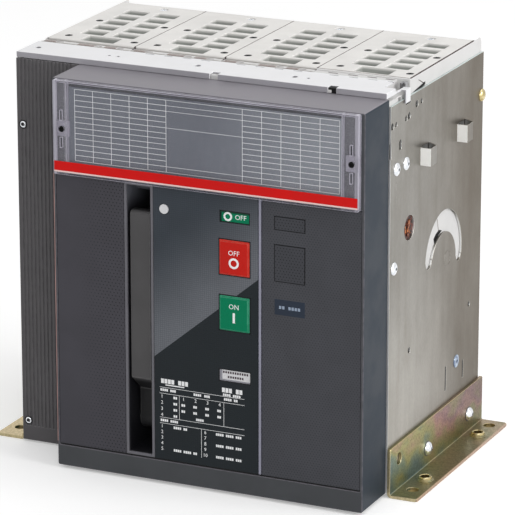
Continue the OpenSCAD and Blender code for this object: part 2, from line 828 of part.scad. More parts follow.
module ribbed_cover() {
    left = -plate_out;
    right = frame_left - seat;
    front = -4;
    ribs = floor((right - left - 4) / rib_pitch);
    color("dimgrey") at_case() difference() {
        block([left, front, frame_bottom - 1], [right, -seat, frame_top - seat]);
        for (k = [0 : ribs - 1])
            block([left + 4 + k * rib_pitch, front - cut, frame_bottom + rib_foot],
                  [left + 4 + k * rib_pitch + rib_groove, front + 1.2, frame_top]);
    }
}

left_side_plate();
right_side_plate();
left_foot();
right_foot();
top_beam();
beam_clip();
mechanism_housing();
for (i = [1 : poles]) {
    pole_housing(i);
    arc_chamber(i);
    terminal(i, upper_bar_z);
    terminal(i, lower_bar_z);
}
bottom_ties();
front_frame();
left_panel();
centre_panel();
right_panel();
panel_strip();
lever_pocket();
lever_pin();
charging_lever();
off_button();
on_button();
position_window();
spring_window();
seal_disc();
small_knockout();
large_knockout();
diagram_plate();
clear_cover();
cover_stripe();
ribbed_cover();
earth_contact();
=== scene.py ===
"""Looks of an open-type switch disconnector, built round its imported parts.

The front faces -Y, and left and right are as seen from there. Sizes are millimetres, apart
from the studio's, which are metres. A depth counts from the front edge of the side plates.
"""

import json
import logging
import math
from collections.abc import Callable, Iterable
from dataclasses import dataclass
from enum import Enum

import bmesh
import bpy
from mathutils import Matrix, Vector

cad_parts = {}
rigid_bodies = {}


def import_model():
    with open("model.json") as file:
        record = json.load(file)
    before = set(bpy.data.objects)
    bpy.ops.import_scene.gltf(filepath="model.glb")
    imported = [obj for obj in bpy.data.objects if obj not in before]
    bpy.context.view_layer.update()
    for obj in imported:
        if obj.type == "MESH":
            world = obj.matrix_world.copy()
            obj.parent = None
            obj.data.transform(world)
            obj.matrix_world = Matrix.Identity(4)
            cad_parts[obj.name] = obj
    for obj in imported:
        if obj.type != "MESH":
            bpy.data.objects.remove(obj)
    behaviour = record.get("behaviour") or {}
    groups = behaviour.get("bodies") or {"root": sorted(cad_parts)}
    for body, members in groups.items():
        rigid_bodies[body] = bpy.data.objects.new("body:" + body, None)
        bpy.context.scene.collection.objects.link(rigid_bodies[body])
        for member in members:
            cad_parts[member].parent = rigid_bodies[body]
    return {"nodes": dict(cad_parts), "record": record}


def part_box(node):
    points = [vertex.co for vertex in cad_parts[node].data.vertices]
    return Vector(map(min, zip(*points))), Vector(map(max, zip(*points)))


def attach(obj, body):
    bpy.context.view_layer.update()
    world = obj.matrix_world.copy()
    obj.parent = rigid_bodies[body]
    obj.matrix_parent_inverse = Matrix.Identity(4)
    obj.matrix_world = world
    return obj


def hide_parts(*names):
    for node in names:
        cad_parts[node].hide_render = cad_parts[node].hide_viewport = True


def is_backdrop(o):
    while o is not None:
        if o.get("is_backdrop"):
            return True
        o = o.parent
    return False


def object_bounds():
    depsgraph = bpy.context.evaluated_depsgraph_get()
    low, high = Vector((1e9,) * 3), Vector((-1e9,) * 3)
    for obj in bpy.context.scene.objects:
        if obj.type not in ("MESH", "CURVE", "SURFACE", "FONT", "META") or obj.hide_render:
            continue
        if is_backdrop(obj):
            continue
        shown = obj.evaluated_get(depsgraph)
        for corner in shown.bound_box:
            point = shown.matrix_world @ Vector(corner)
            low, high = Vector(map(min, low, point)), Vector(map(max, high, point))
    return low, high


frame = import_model()

LOG = logging.getLogger("switch_disconnector")
MM = 0.001
CASE, LEVER, OFF_PUSH, ON_PUSH = "case", "lever", "off_push", "on_push"
EDGE = "edge"
WHITE = (1.0, 1.0, 1.0)
SHARP_ANGLE = math.radians(32.0)
EASED_ANGLE = math.radians(35.0)

Socket = bpy.types.NodeSocket
Material = bpy.types.Material
Thing = bpy.types.Object
Feed = Socket | float | str | tuple
Colour = tuple[float, float, float]
Pair = tuple[float, float]
Triple = tuple[float, float, float]
Pairs = tuple[Pair, ...]
Triples = tuple[Triple, ...]
Tones = tuple[tuple[float, Colour], ...]
Reach = float | Callable[[float], float]


def srgb(red: int, green: int, blue: int) -> Colour:
    """Turns a colour chart's 0 to 255 values into linear ones."""
    shares = (value / 255 for value in (red, green, blue))
    return tuple(s / 12.92 if s <= 0.04045 else ((s + 0.055) / 1.055) ** 2.4 for s in shares)


def front_edge() -> Vector:
    """Returns the point in metres that depths count from."""
    return Vector((0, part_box("right_side_plate")[0].y, 0))


@dataclass(frozen=True)
class Extent:
    """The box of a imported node, in millimetres, with depths from the side plates' front edge."""

    low: Vector
    high: Vector

    @classmethod
    def of(cls, node: str) -> "Extent":
        """Returns the box of one node."""
        return cls(*((corner - front_edge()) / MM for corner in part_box(node)))

    @property
    def middle(self) -> Vector:
        """The centre of the box."""
        return (self.low + self.high) / 2


class Facing(Enum):
    """The way a face looks, as its across, up and outward directions."""

    FRONT = ((1, 0, 0), (0, 0, 1), (0, -1, 0))
    REAR = ((-1, 0, 0), (0, 0, 1), (0, 1, 0))
    RIGHT = ((0, 1, 0), (0, 0, 1), (1, 0, 0))
    LEFT = ((0, -1, 0), (0, 0, 1), (-1, 0, 0))
    TOP = ((1, 0, 0), (0, 1, 0), (0, 0, 1))

    def at(self, spot: Iterable[float], turn: float = 0.0) -> Matrix:
        """Returns the placing of a drawing at X, depth and height, turned by some degrees."""
        way = Matrix(self.value).transposed().to_4x4()
        return Matrix.Translation(Vector(spot)) @ way @ Matrix.Rotation(math.radians(turn), 4, "Z")


SIDES = ((Facing.RIGHT, 1), (Facing.LEFT, -1))


# ---- node wiring


class Wires:
    """Adds and joins the nodes of one tree."""

    def __init__(self, tree: bpy.types.NodeTree) -> None:
        """Keeps the tree that the nodes go into."""
        self.tree = tree

    def add(self, kind: str, settings: dict[str, object] | None = None,
            **feeds: Feed) -> bpy.types.Node:
        """Adds a node.

        Args:
            kind: The node's type.
            settings: Properties of the node.
            feeds: Values or sockets for its inputs, with _ for a space in their names.

        Returns:
            The new node.
        """
        node = self.tree.nodes.new(kind)
        for name, value in (settings or {}).items():
            setattr(node, name, value)
        for name, value in feeds.items():
            self.feed(node.inputs[name.replace("_", " ")], value)
        return node

    def feed(self, socket: Socket, value: Feed) -> None:
        """Links a socket to an input, or sets the input's value.

        Args:
            socket: The input.
            value: A socket, a number, a name or a colour.
        """
        if isinstance(value, Socket):
            self.tree.links.new(value, socket)
        elif socket.type == "RGBA":
            socket.default_value = (*value[:3], 1.0)
        else:
            socket.default_value = value

    def row(self, kind: str, settings: dict[str, object], *values: Feed) -> Socket:
        """Adds a node that takes its values in order.

        Args:
            kind: The node's type.
            settings: Properties of the node.
            values: Values or sockets for its first inputs.

        Returns:
            Its first output.
        """
        node = self.add(kind, settings)
        for socket, value in zip(node.inputs, values):
            self.feed(socket, value)
        return node.outputs[0]

    def math(self, operation: str, *values: Feed, clamp: bool = False) -> Socket:
        """Returns the result of a Math node on one to three values."""
        return self.row("ShaderNodeMath", {"operation": operation, "use_clamp": clamp}, *values)

    def times(self, first: Feed, second: Feed) -> Socket:
        """Returns a product."""
        return self.math("MULTIPLY", first, second)

    def plus(self, first: Feed, second: Feed) -> Socket:
        """Returns a sum."""
        return self.math("ADD", first, second)

    def minus(self, first: Feed, second: Feed) -> Socket:
        """Returns a difference."""
        return self.math("SUBTRACT", first, second)

    def over(self, first: Feed, second: Feed) -> Socket:
        """Returns a quotient."""
        return self.math("DIVIDE", first, second)

    def spread(self, value: Feed, low: Feed, high: Feed, to_low: Feed = 0.0,
               to_high: Feed = 1.0) -> Socket:
        """Returns a value moved smoothly from one range to another, held at its ends."""
        return self.row("ShaderNodeMapRange", {"interpolation_type": "SMOOTHSTEP"},
                        value, low, high, to_low, to_high)

    def blend(self, share: Feed, first: Feed, second: Feed, mode: str = "MIX") -> Socket:
        """Mixes two colours.

        Args:
            share: How much of the second colour counts.
            first: The first colour.
            second: The second colour.
            mode: The way they mix.

        Returns:
            The mix.
        """
        node = self.add("ShaderNodeMix", {"data_type": "RGBA", "blend_type": mode})
        for index, value in ((0, share), (6, first), (7, second)):
            self.feed(node.inputs[index], value)
        return node.outputs[2]

    def dimmed(self, colour: Feed, value: Feed) -> Socket:
        """Returns a colour multiplied by a value."""
        grey = self.row("ShaderNodeCombineColor", {}, value, value, value)
        return self.blend(1.0, colour, grey, "MULTIPLY")

    def own(self, scale: Triple = (1, 1, 1), shift: Triple = (0, 0, 0)) -> Socket:
        """Returns the piece's own coordinates, scaled and shifted."""
        own = self.add("ShaderNodeTexCoord").outputs["Object"]
        return self.add("ShaderNodeMapping", Vector=own, Location=shift, Scale=scale).outputs[0]

    def axes(self, vector: Socket) -> tuple[Socket, ...]:
        """Returns a vector's three parts."""
        return tuple(self.add("ShaderNodeSeparateXYZ", Vector=vector).outputs)

    def spot(self) -> tuple[Socket, ...]:
        """Returns a point's own coordinates in millimetres: across, depth and height."""
        return self.axes(self.own((1 / MM, 1 / MM, 1 / MM)))

    def noise(self, vector: Socket, scale: Feed, detail: float = 3.0,
              rough: float = 0.55) -> Socket:
        """Returns a noise value."""
        return self.add("ShaderNodeTexNoise", Vector=vector, Scale=scale, Detail=detail,
                        Roughness=rough).outputs[0]

    def ramp(self, value: Feed, stops: Tones) -> Socket:
        """Looks a value up in a row of colours.

        Args:
            value: The value, from 0 to 1.
            stops: Where each colour stands, and the colour.

        Returns:
            The colour.
        """
        node = self.add("ShaderNodeValToRGB", Fac=value)
        bar = node.color_ramp.elements
        while len(bar) < len(stops):
            bar.new(0.5)
        for stop, (at, colour) in zip(bar, stops):
            stop.position, stop.color = at, (*colour, 1.0)
        return node.outputs[0]


class Effect(Wires):
    """A shader node group that several finishes share."""

    def __init__(self, name: str, **inputs: float) -> None:
        """Starts the group.

        Args:
            name: The group's name.
            inputs: Each input's name and value.
        """
        super().__init__(bpy.data.node_groups.new(name, "ShaderNodeTree"))
        for label, value in inputs.items():
            self._socket(label, "INPUT").default_value = value
        self.given = self.add("NodeGroupInput").outputs

    def _socket(self, label: str, side: str) -> bpy.types.NodeTreeInterfaceSocket:
        """Returns a new input or output of the group."""
        return self.tree.interface.new_socket(label, in_out=side, socket_type="NodeSocketFloat")

    def end(self, **results: Socket) -> None:
        """Gives the group its outputs.

        Args:
            results: Each output's name and what feeds it.
        """
        for label in results:
            self._socket(label, "OUTPUT")
        ends = self.add("NodeGroupOutput").inputs
        for label, value in results.items():
            self.feed(ends[label], value)

    def put(self, wires: Wires, **feeds: Feed) -> bpy.types.NodeOutputs:
        """Places the group in a material's tree and returns its outputs."""
        return wires.add("ShaderNodeGroup", {"node_tree": self.tree}, **feeds).outputs


class Effects(dict[str, Effect]):
    """The groups, by name, that the finishes place with their own values."""

    def __init__(self) -> None:
        """Builds each group once."""
        super().__init__()
        for build in (self._grain, self._wear, self._dust, self._dots, self._weave, self._faces,
                      self._place):
            build()

    def start(self, name: str, **inputs: float) -> Effect:
        """Starts and keeps a group with float inputs."""
        self[name] = Effect(name, **inputs)
        return self[name]

    def _grain(self) -> None:
        """Makes fine moulded texture: a height, and slow clouds of tone."""
        group = self.start("moulded_grain", Size=0.6, Cloud=40.0)
        own = group.own()
        fine, slow = (group.over(1 / MM, group.given[label]) for label in ("Size", "Cloud"))
        group.end(Height=group.noise(own, fine, 2.0),
                  Tone=group.spread(group.noise(own, slow), 0.3, 0.7))

    def _wear(self) -> None:
        """Masks the rounded edges in patches, for bare cut edges and for painted highlights."""
        group = self.start("edge_wear", Patchy=0.5)
        edge = group.add("ShaderNodeAttribute", {"attribute_name": EDGE}).outputs["Fac"]
        patches = group.spread(group.noise(group.own(), 180.0, 4.0), 0.35, 0.6)
        missing = group.times(group.given["Patchy"], group.minus(1.0, patches))
        group.end(Mask=group.math("MULTIPLY", edge, group.minus(1.0, missing), clamp=True))

    def _dust(self) -> None:
        """Makes a thin mask of dust on what faces up."""
        group = self.start("settled_dust", Amount=0.2)
        up = group.axes(group.add("ShaderNodeNewGeometry").outputs["Normal"])[2]
        patches = group.spread(group.noise(group.own(), 60.0, 5.0, 0.65), 0.35, 0.75)
        mask = group.times(group.spread(up, 0.5, 0.95), patches)
        group.end(Mask=group.times(mask, group.given["Amount"]))

    def _dots(self) -> None:
        """Masks staggered rows of small dots on a front panel, fading out to one side."""
        group = self.start("staggered_dots", Pitch=3.4, Row=3.0, Radius=0.55, Faint=-1.0, Full=0.0)
        pitch, row, radius, faint, full = list(group.given)[:5]
        across, _, height = group.spot()
        rows = group.over(height, row)
        odd = group.math("FLOORED_MODULO", group.math("FLOOR", rows), 2.0)
        columns = group.plus(group.over(across, pitch), group.times(odd, 0.5))
        squares = []
        for count, step in ((columns, pitch), (rows, row)):
            away = group.minus(group.math("FRACT", count), 0.5)
            squares.append(group.math("POWER", group.times(away, step), 2.0))
        reach = group.math("SQRT", group.plus(*squares))
        dot = group.spread(group.over(reach, radius), 1.3, 0.7)
        group.end(Mask=group.times(dot, group.spread(across, faint, full)))

    def _weave(self) -> None:
        """Masks a fine square grid of grooves."""
        group = self.start("fine_grid", Pitch=1.9)
        across, _, height = group.spot()
        waves = []
        for way in (across, height):
            part = group.math("FRACT", group.over(way, group.given["Pitch"]))
            waves.append(group.spread(group.math("ABSOLUTE", group.minus(part, 0.5)), 0.3, 0.5))
        group.end(Mask=group.math("MAXIMUM", *waves))

    def _faces(self) -> None:
        """Masks the faces that look up, to the right, to the front and to the rear."""
        group = self.start("face_directions", Least=0.6)
        least = group.given["Least"]
        normal = group.axes(group.add("ShaderNodeNewGeometry").outputs["Normal"])
        ways = {"Up": (2, 1.0), "Right": (0, 1.0), "Front": (1, -1.0), "Rear": (1, 1.0)}
        full = group.plus(least, 0.25)
        group.end(**{label: group.spread(group.times(normal[axis], sign), least, full)
                     for label, (axis, sign) in ways.items()})

    def _place(self) -> None:
        """Tells a point's X, depth and height in millimetres."""
        group = self.start("place_on_case", Front=front_edge().y / MM)
        across, depth, height = group.spot()
        group.end(Across=across, Depth=group.minus(depth, group.given["Front"]), Height=height)


class Coat(Wires):
    """The nodes of one material round its Principled shader."""

    def __init__(self, name: str, effects: Effects | None = None) -> None:
        """Makes the material, which holds only the shader so far.

        Args:
            name: The material's name.
            effects: The shared groups, where the material uses them.
        """
        self.material = bpy.data.materials.new(name)
        self.material.use_nodes = True
        super().__init__(self.material.node_tree)
        self.shader = self.tree.nodes["Principled BSDF"].inputs
        self.effects = effects

    def use(self, effect: str, **feeds: Feed) -> bpy.types.NodeOutputs:
        """Places a shared group and returns its outputs."""
        return self.effects[effect].put(self, **feeds)

    def wear_and_glint(self, colour: Feed, bare: Colour, share: float, patchy: float = 0.5) -> Socket:
        """Returns a colour with tinted edges: bare cut edges on metals, painted highlights on
        mouldings.
        """
        mask = self.times(self.use("edge_wear", Patchy=patchy)["Mask"], share)
        return self.blend(mask, colour, bare)

    def relieve(self, height: Socket, depth: float) -> None:
        """Presses a relief of some millimetres into the surface."""
        bump = self.add("ShaderNodeBump", Height=height, Distance=depth * MM)
        self.feed(self.shader["Normal"], bump.outputs[0])

    def dress(self, **feeds: Feed) -> None:
        """Feeds the shader's inputs, with _ for a space in their names."""
        for label, value in feeds.items():
            self.feed(self.shader[label.replace("_", " ")], value)


# ---- finishes


@dataclass(frozen=True)
class Finish:
    """A surface that becomes one material."""

    def make(self, name: str, effects: Effects) -> Material:
        """Builds the material.

        Args:
            name: The material's name.
            effects: The shared groups.

        Returns:
            The material.
        """
        coat = Coat(name, effects)
        self.wire(coat)
        return coat.material

    def wire(self, coat: Coat) -> None:
        """Adds the finish's nodes."""
        raise NotImplementedError


@dataclass(frozen=True)
class Moulded(Finish):
    """Moulding or paint, with grain, clouds of tone, painted highlights on its edges, and dust."""

    colour: Colour
    roughness: float = 0.5
    grain: float = 0.04
    grain_size: float = 0.6
    tone: float = 0.06
    wear: Colour = (0.3, 0.3, 0.3)
    edge_glint_share: float = 0.0
    dust: float = 0.0
    specular: float = 0.5
    dust_colour: Colour = srgb(196, 192, 184)
    roughness_range: float = 0.05

    def body(self, coat: Coat) -> Feed:
        """Returns the colour before wear and dust."""
        return self.colour

    def relief(self, coat: Coat, grain: Socket) -> Socket:
        """Returns the height that feeds the bump."""
        return grain

    def wire(self, coat: Coat) -> None:
        """Adds the body's colour, the painted edge highlights, the dust and the grain.

        Args:
            coat: The material's nodes.
        """
        grain = coat.use("moulded_grain", Size=self.grain_size)
        tone = coat.spread(grain["Tone"], 0.0, 1.0, 1.0 - self.tone, 1.0 + self.tone)
        colour = coat.dimmed(self.body(coat), tone)
        # Painted highlights on the rounded edges.
        if self.edge_glint_share:
            colour = coat.wear_and_glint(colour, self.wear, self.edge_glint_share)
        if self.dust:
            mask = coat.use("settled_dust", Amount=self.dust)["Mask"]
            colour = coat.blend(mask, colour, self.dust_colour)
        coat.relieve(self.relief(coat, grain["Height"]), self.grain)
        rough = coat.spread(grain["Tone"], 0.0, 1.0, self.roughness - self.roughness_range,
                            self.roughness + self.roughness_range)
        coat.dress(Base_Color=colour, Roughness=rough, Specular_IOR_Level=self.specular)


@dataclass(frozen=True)
class Faced(Moulded):
    """Moulding or sheet with painted light and shade by where a face looks and how deep it lies.
    """

    # Painted tones for faces that look up, to the right or to the front, and for sunk faces.
    up: Colour | None = None
    right: Colour | None = None
    front: Colour | None = None
    sunk: Colour | None = None
    level: float = 0.0

    def body(self, coat: Coat) -> Feed:
        """Gives the faces their painted light and shade.

        Args:
            coat: The material's nodes.

        Returns:
            The colour.
        """
        colour, masks = self.colour, coat.use("face_directions")
        for side, tone in (("Up", self.up), ("Right", self.right), ("Front", self.front)):
            if tone:
                colour = coat.blend(masks[side], colour, tone)
        if self.sunk:
            height = coat.use("place_on_case")["Height"]
            deep = coat.spread(height, self.level - 0.5, self.level - 3.0)
            colour = coat.blend(deep, colour, self.sunk)
        return colour


@dataclass(frozen=True)
class Dotted(Moulded):
    """A front panel moulded with staggered dots that fade out to one side."""

    pitch: Pair = (3.4, 3.0)
    radius: float = 0.55
    fade: Pair = (-1000.0, -999.0)
    depth: float = 0.4
    dot: Colour = (0.004, 0.004, 0.005)

    def dots(self, coat: Coat) -> Socket:
        """Returns the mask of the dots."""
        return coat.use("staggered_dots", Pitch=self.pitch[0], Row=self.pitch[1],
                        Radius=self.radius, Faint=self.fade[0], Full=self.fade[1])["Mask"]

    def body(self, coat: Coat) -> Feed:
        """Returns the panel's colour, changed in the dots."""
        share = coat.times(self.dots(coat), self.depth)
        return coat.blend(share, self.colour, self.dot)

    def relief(self, coat: Coat, grain: Socket) -> Socket:
        """Returns the grain with the dots pressed in."""
        return coat.minus(grain, self.dots(coat))


@dataclass(frozen=True)
class TwoTone(Moulded):
    """The centre panel: grey above a slanting line, slate below it, on a fine grid."""

    slate: Colour = srgb(32, 38, 42)
    light: Colour = srgb(112, 115, 121)
    upper_groove: Colour = (0.014, 0.018, 0.024)
    lower_groove: Colour = (0.004, 0.005, 0.006)
    groove_shares: Pair = (0.35, 0.3)
    line_foot: Pair = (-24.4, 118.7)
    line_head: Pair = (80.5, 206.0)
    glow: Pair = (112.0, -10.0)

    def body(self, coat: Coat) -> Feed:
        """Parts the panel at its line, paler above it towards the line.

        Args:
            coat: The material's nodes.

        Returns:
            The colour.
        """
        (foot_x, foot_z), (head_x, head_z) = self.line_foot, self.line_head
        place, grid = coat.use("place_on_case"), coat.use("fine_grid")["Mask"]
        slope = (head_z - foot_z) / (head_x - foot_x)
        line = coat.plus(coat.times(coat.minus(place["Across"], foot_x), slope), foot_z)
        above = coat.minus(place["Height"], line)
        upper = coat.blend(coat.spread(above, *self.glow), self.colour, self.light)
        upper = coat.blend(coat.times(grid, self.groove_shares[0]), upper, self.upper_groove)
        lower = coat.blend(coat.times(grid, self.groove_shares[1]), self.slate, self.lower_groove)
        return coat.blend(coat.math("LESS_THAN", above, 0.0), upper, lower)

    def relief(self, coat: Coat, grain: Socket) -> Socket:
        """Returns the grain with the grid's grooves taken off."""
        return coat.minus(grain, coat.use("fine_grid")["Mask"])


@dataclass(frozen=True)
class Pocketed(Moulded):
    """A moulding with a pale rim, painted shade deepening inside it and painted light on its upper
    part.
    """

    # Painted shade deep inside, and painted light on the upper part.
    inside: Colour = srgb(30, 30, 34)
    depths: Pair = (-52.6, -50.0)
    painted_crown_light: Colour | None = None
    crown_levels: Pair = (250.0, 276.0)

    def body(self, coat: Coat) -> Feed:
        """Paints shade on what lies behind the rim, lighter near the top.

        Args:
            coat: The material's nodes.

        Returns:
            The colour.
        """
        place, inside = coat.use("place_on_case"), self.inside
        if self.painted_crown_light:
            high = coat.spread(place["Height"], *self.crown_levels)
            inside = coat.blend(high, inside, self.painted_crown_light)
        return coat.blend(coat.spread(place["Depth"], *self.depths), self.colour, inside)


@dataclass(frozen=True)
class Graded(Moulded):
    """The diagram plate's sheet, paler to both sides of its middle."""

    left: Colour = srgb(108, 113, 122)
    right: Colour = srgb(137, 142, 149)
    reach: Triple = (-100.0, 20.0, 160.0)

    def body(self, coat: Coat) -> Feed:
        """Grades the colour from side to side.

        Args:
            coat: The material's nodes.

        Returns:
            The colour.
        """
        across = coat.use("place_on_case")["Across"]
        start, middle, end = self.reach
        colour = coat.blend(coat.spread(across, middle, start), self.colour, self.left)
        return coat.blend(coat.spread(across, middle, end), colour, self.right)


@dataclass(frozen=True)
class Sheet(Finish):
    """Plated sheet with drawn streaks, cloudy plating, bright cut edges and painted light and
    shade.
    """

    tones: Tones
    roughness: float = 0.42
    streak_scale: float = 70.0
    streak_share: float = 0.35
    streak_depth: float = 0.015
    cloud_scale: float = 9.0
    fine_scale: float = 900.0
    metallic: float = 0.85
    edge: Colour = (0.55, 0.54, 0.5)
    edge_share: float = 0.8
    # Painted light on front faces, painted shade to the rear, painted light low at the front.
    facing: Colour = (0.8, 0.8, 0.79)
    rear: Colour = (0.69, 0.64, 0.58)
    rear_depths: Pair = (20.0, 215.0)
    foot_gain: float = 0.46
    foot_depths: Pair = (170.0, 20.0)
    foot_levels: Pair = (230.0, 60.0)

    def wire(self, coat: Coat) -> None:
        """Adds streaks, clouds, edges, painted rear shade and painted light on the foot and front
        faces.

        Args:
            coat: The material's nodes.
        """
        streak = coat.noise(coat.own((1, 1, 0.05)), self.streak_scale, 4.0, 0.6)
        cloud = coat.noise(coat.own((1, 1, 0.6), (0.3, 0.1, 0.2)), self.cloud_scale, 5.0, 0.62)
        fine = coat.noise(coat.own((1, 1, 0.3)), self.fine_scale, 3.0, 0.7)
        mixed = coat.plus(coat.times(streak, self.streak_share),
                          coat.times(cloud, 1.0 - self.streak_share))
        place = coat.use("place_on_case")
        # Painted shade to the rear and painted light at the foot.
        back = coat.blend(coat.spread(place["Depth"], *self.rear_depths), WHITE, self.rear)
        foot = coat.times(coat.spread(place["Height"], *self.foot_levels),
                          coat.spread(place["Depth"], *self.foot_depths))
        colour = coat.ramp(coat.spread(mixed, 0.25, 0.75), self.tones)
        colour = coat.blend(1.0, colour, back, "MULTIPLY")
        colour = coat.dimmed(colour, coat.plus(1.0, coat.times(foot, self.foot_gain)))
        colour = coat.dimmed(colour, coat.spread(fine, 0.3, 0.7, 0.93, 1.05))
        colour = coat.blend(coat.use("face_directions")["Front"], colour, self.facing)
        rough = coat.spread(cloud, 0.25, 0.75, self.roughness + 0.08, self.roughness - 0.08)
        coat.relieve(streak, self.streak_depth)
        colour = coat.wear_and_glint(colour, self.edge, self.edge_share, 0.3)
        coat.dress(Base_Color=colour, Roughness=rough, Metallic=self.metallic)


@dataclass(frozen=True)
class Passivated(Finish):
    """Zinc plating with rainbow colours that drift over the leg and the flange."""

    leg: Tones
    flange: Tones
    edge: Colour
    brink: Colour = srgb(196, 162, 146)
    brink_across: Pair = (210.2, 211.6)
    brink_share: float = 0.7
    bare_across: Pair = (-150.0, -182.0)
    colour_height: float = 92.0
    colour_slope: float = 0.0016
    leg_drift: float = 1.7
    leg_start: float = 0.86
    leg_depths: Pair = (30.0, 215.0)
    leg_painted_shade: Pair = (1.22, 0.6)
    flange_drift: float = 1.5
    flange_start: float = 0.42
    front_share: float = 0.8
    worn_share: float = 0.6
    roughness: float = 0.34
    speck_scale: float = 520.0
    speck_depth: float = 0.02
    metallic: float = 0.9

    def wire(self, coat: Coat) -> None:
        """Adds the drifting colours, the specks, the brink and the edges.

        Args:
            coat: The material's nodes.
        """
        place, faces = coat.use("place_on_case"), coat.use("face_directions")
        drift = coat.noise(coat.own((1, 1, 1.4)), 19.0, 3.0, 0.5)
        speck = coat.noise(coat.own(), self.speck_scale, 4.0, 0.75)
        back = coat.times(place["Depth"], self.colour_slope)
        brink = coat.spread(place["Across"], *self.brink_across)
        phase = coat.plus(coat.over(place["Height"], self.colour_height),
                          coat.plus(back, coat.times(drift, self.leg_drift)))
        # The leg darkens towards the rear: painted shade.
        leg = coat.dimmed(coat.ramp(coat.minus(phase, self.leg_start), self.leg),
                          coat.spread(place["Depth"], *self.leg_depths, *self.leg_painted_shade))
        phase = coat.plus(coat.times(drift, self.flange_drift),
                          coat.minus(back, self.flange_start))
        flange = coat.blend(coat.spread(place["Across"], *self.bare_across),
                            coat.ramp(phase, self.flange), self.edge)
        colour = coat.blend(coat.math("MAXIMUM", faces["Up"], brink), leg, flange)
        colour = coat.blend(coat.times(brink, self.brink_share), colour, self.brink)
        colour = coat.blend(coat.times(faces["Front"], self.front_share), colour, self.edge)
        colour = coat.dimmed(colour, coat.spread(speck, 0.3, 0.62, 0.62, 1.06))
        rough = coat.spread(speck, 0.3, 0.7, self.roughness + 0.1, self.roughness - 0.06)
        coat.relieve(speck, self.speck_depth)
        colour = coat.wear_and_glint(colour, self.edge, self.worn_share, 0.2)
        coat.dress(Base_Color=colour, Roughness=rough, Metallic=self.metallic)


@dataclass(frozen=True)
class Metal(Finish):
    """Small turned or plated metal pieces."""

    colour: Colour
    second: Colour
    roughness: float = 0.22
    scale: float = 300.0
    span: Pair = (0.35, 0.65)
    metallic: float = 1.0
    shade: float = 1.0
    least: float = 0.12
    depth: float = 0.01

    def wire(self, coat: Coat) -> None:
        """Adds the mottled colour, with painted shade where a face looks to the rear.

        Args:
            coat: The material's nodes.
        """
        noise = coat.noise(coat.own(), self.scale)
        colour = coat.blend(coat.spread(noise, *self.span), self.colour, self.second)
        # Painted shade on the rear side of domed heads.
        if self.shade < 1.0:
            rear = coat.use("face_directions", Least=self.least)["Rear"]
            colour = coat.blend(rear, colour, tuple(self.shade * tone for tone in self.second))
        coat.relieve(noise, self.depth)
        rough = coat.spread(noise, 0.3, 0.7, self.roughness, self.roughness + 0.12)
        coat.dress(Base_Color=colour, Roughness=rough, Metallic=self.metallic)


@dataclass(frozen=True)
class Clear(Finish):
    """Clear plastic: almost none where flat; painted reflection on walls, painted highlights on
    edges.
    """

    tint: Colour
    second: Colour
    flat: float
    wall_sheen: float
    rim: float
    haze: float = 0.05
    # Bands of painted highlight: middle, half width and share.
    glints: Triples = (
        (-110.0, 7.0, 0.07), (170.0, 8.0, 0.07), (-115.2, 1.3, 0.58), (-104.6, 1.1, 0.2),
        (162.6, 1.0, 0.2), (175.9, 1.5, 0.32))
    glint_edge: float = 0.5

    def wire(self, coat: Coat) -> None:
        """Adds painted reflection on walls, painted highlights on edges and in bands, and the
        scuffs.

        Args:
            coat: The material's nodes.
        """
        front = coat.use("face_directions", Least=0.5)["Front"]
        back = coat.axes(coat.add("ShaderNodeNewGeometry").outputs["Normal"])[1]
        flat = coat.math("MAXIMUM", front, coat.spread(back, 0.5, 0.75))
        scuffs = coat.noise(coat.own((1, 1, 0.2)), 260.0, 4.0, 0.7)
        # Painted reflection on the walls, with real haze from scuffs.
        haze_and_glint = coat.plus(coat.spread(flat, 0.0, 1.0, self.wall_sheen, self.flat),
                         coat.times(coat.spread(scuffs, 0.4, 0.8), self.haze))
        across = coat.use("place_on_case")["Across"]
        for middle, half, share in self.glints:
            away = coat.math("ABSOLUTE", coat.minus(across, middle))
            band = coat.spread(away, half + self.glint_edge, half - self.glint_edge)
            haze_and_glint = coat.plus(haze_and_glint, coat.times(band, share))
        # Painted highlights on the rounded edges.
        edge = coat.times(coat.use("edge_wear", Patchy=0.1)["Mask"], self.rim)
        tone = coat.spread(coat.noise(coat.own(), 25.0, 2.0), 0.3, 0.7)
        coat.dress(Alpha=coat.math("MAXIMUM", haze_and_glint, edge, clamp=True),
                   Base_Color=coat.blend(tone, self.tint, self.second),
                   Roughness=coat.spread(scuffs, 0.45, 0.8, 0.06, 0.16))


PLATE_TONES = ((0.0, srgb(120, 114, 105)), (0.3, srgb(131, 127, 120)), (0.55, srgb(138, 135, 129)),
               (0.8, srgb(145, 142, 136)), (1.0, srgb(159, 156, 150)))
LEG_TONES = ((0.0, srgb(96, 114, 112)), (0.2, srgb(116, 128, 106)), (0.36, srgb(146, 142, 92)),
             (0.5, srgb(152, 136, 100)), (0.64, srgb(164, 126, 112)), (0.8, srgb(148, 112, 112)),
             (1.0, srgb(146, 132, 96)))
FLANGE_TONES = ((0.0, srgb(114, 120, 96)), (0.3, srgb(136, 134, 98)), (0.55, srgb(142, 134, 100)),
                (0.8, srgb(168, 144, 118)), (1.0, srgb(190, 166, 144)))
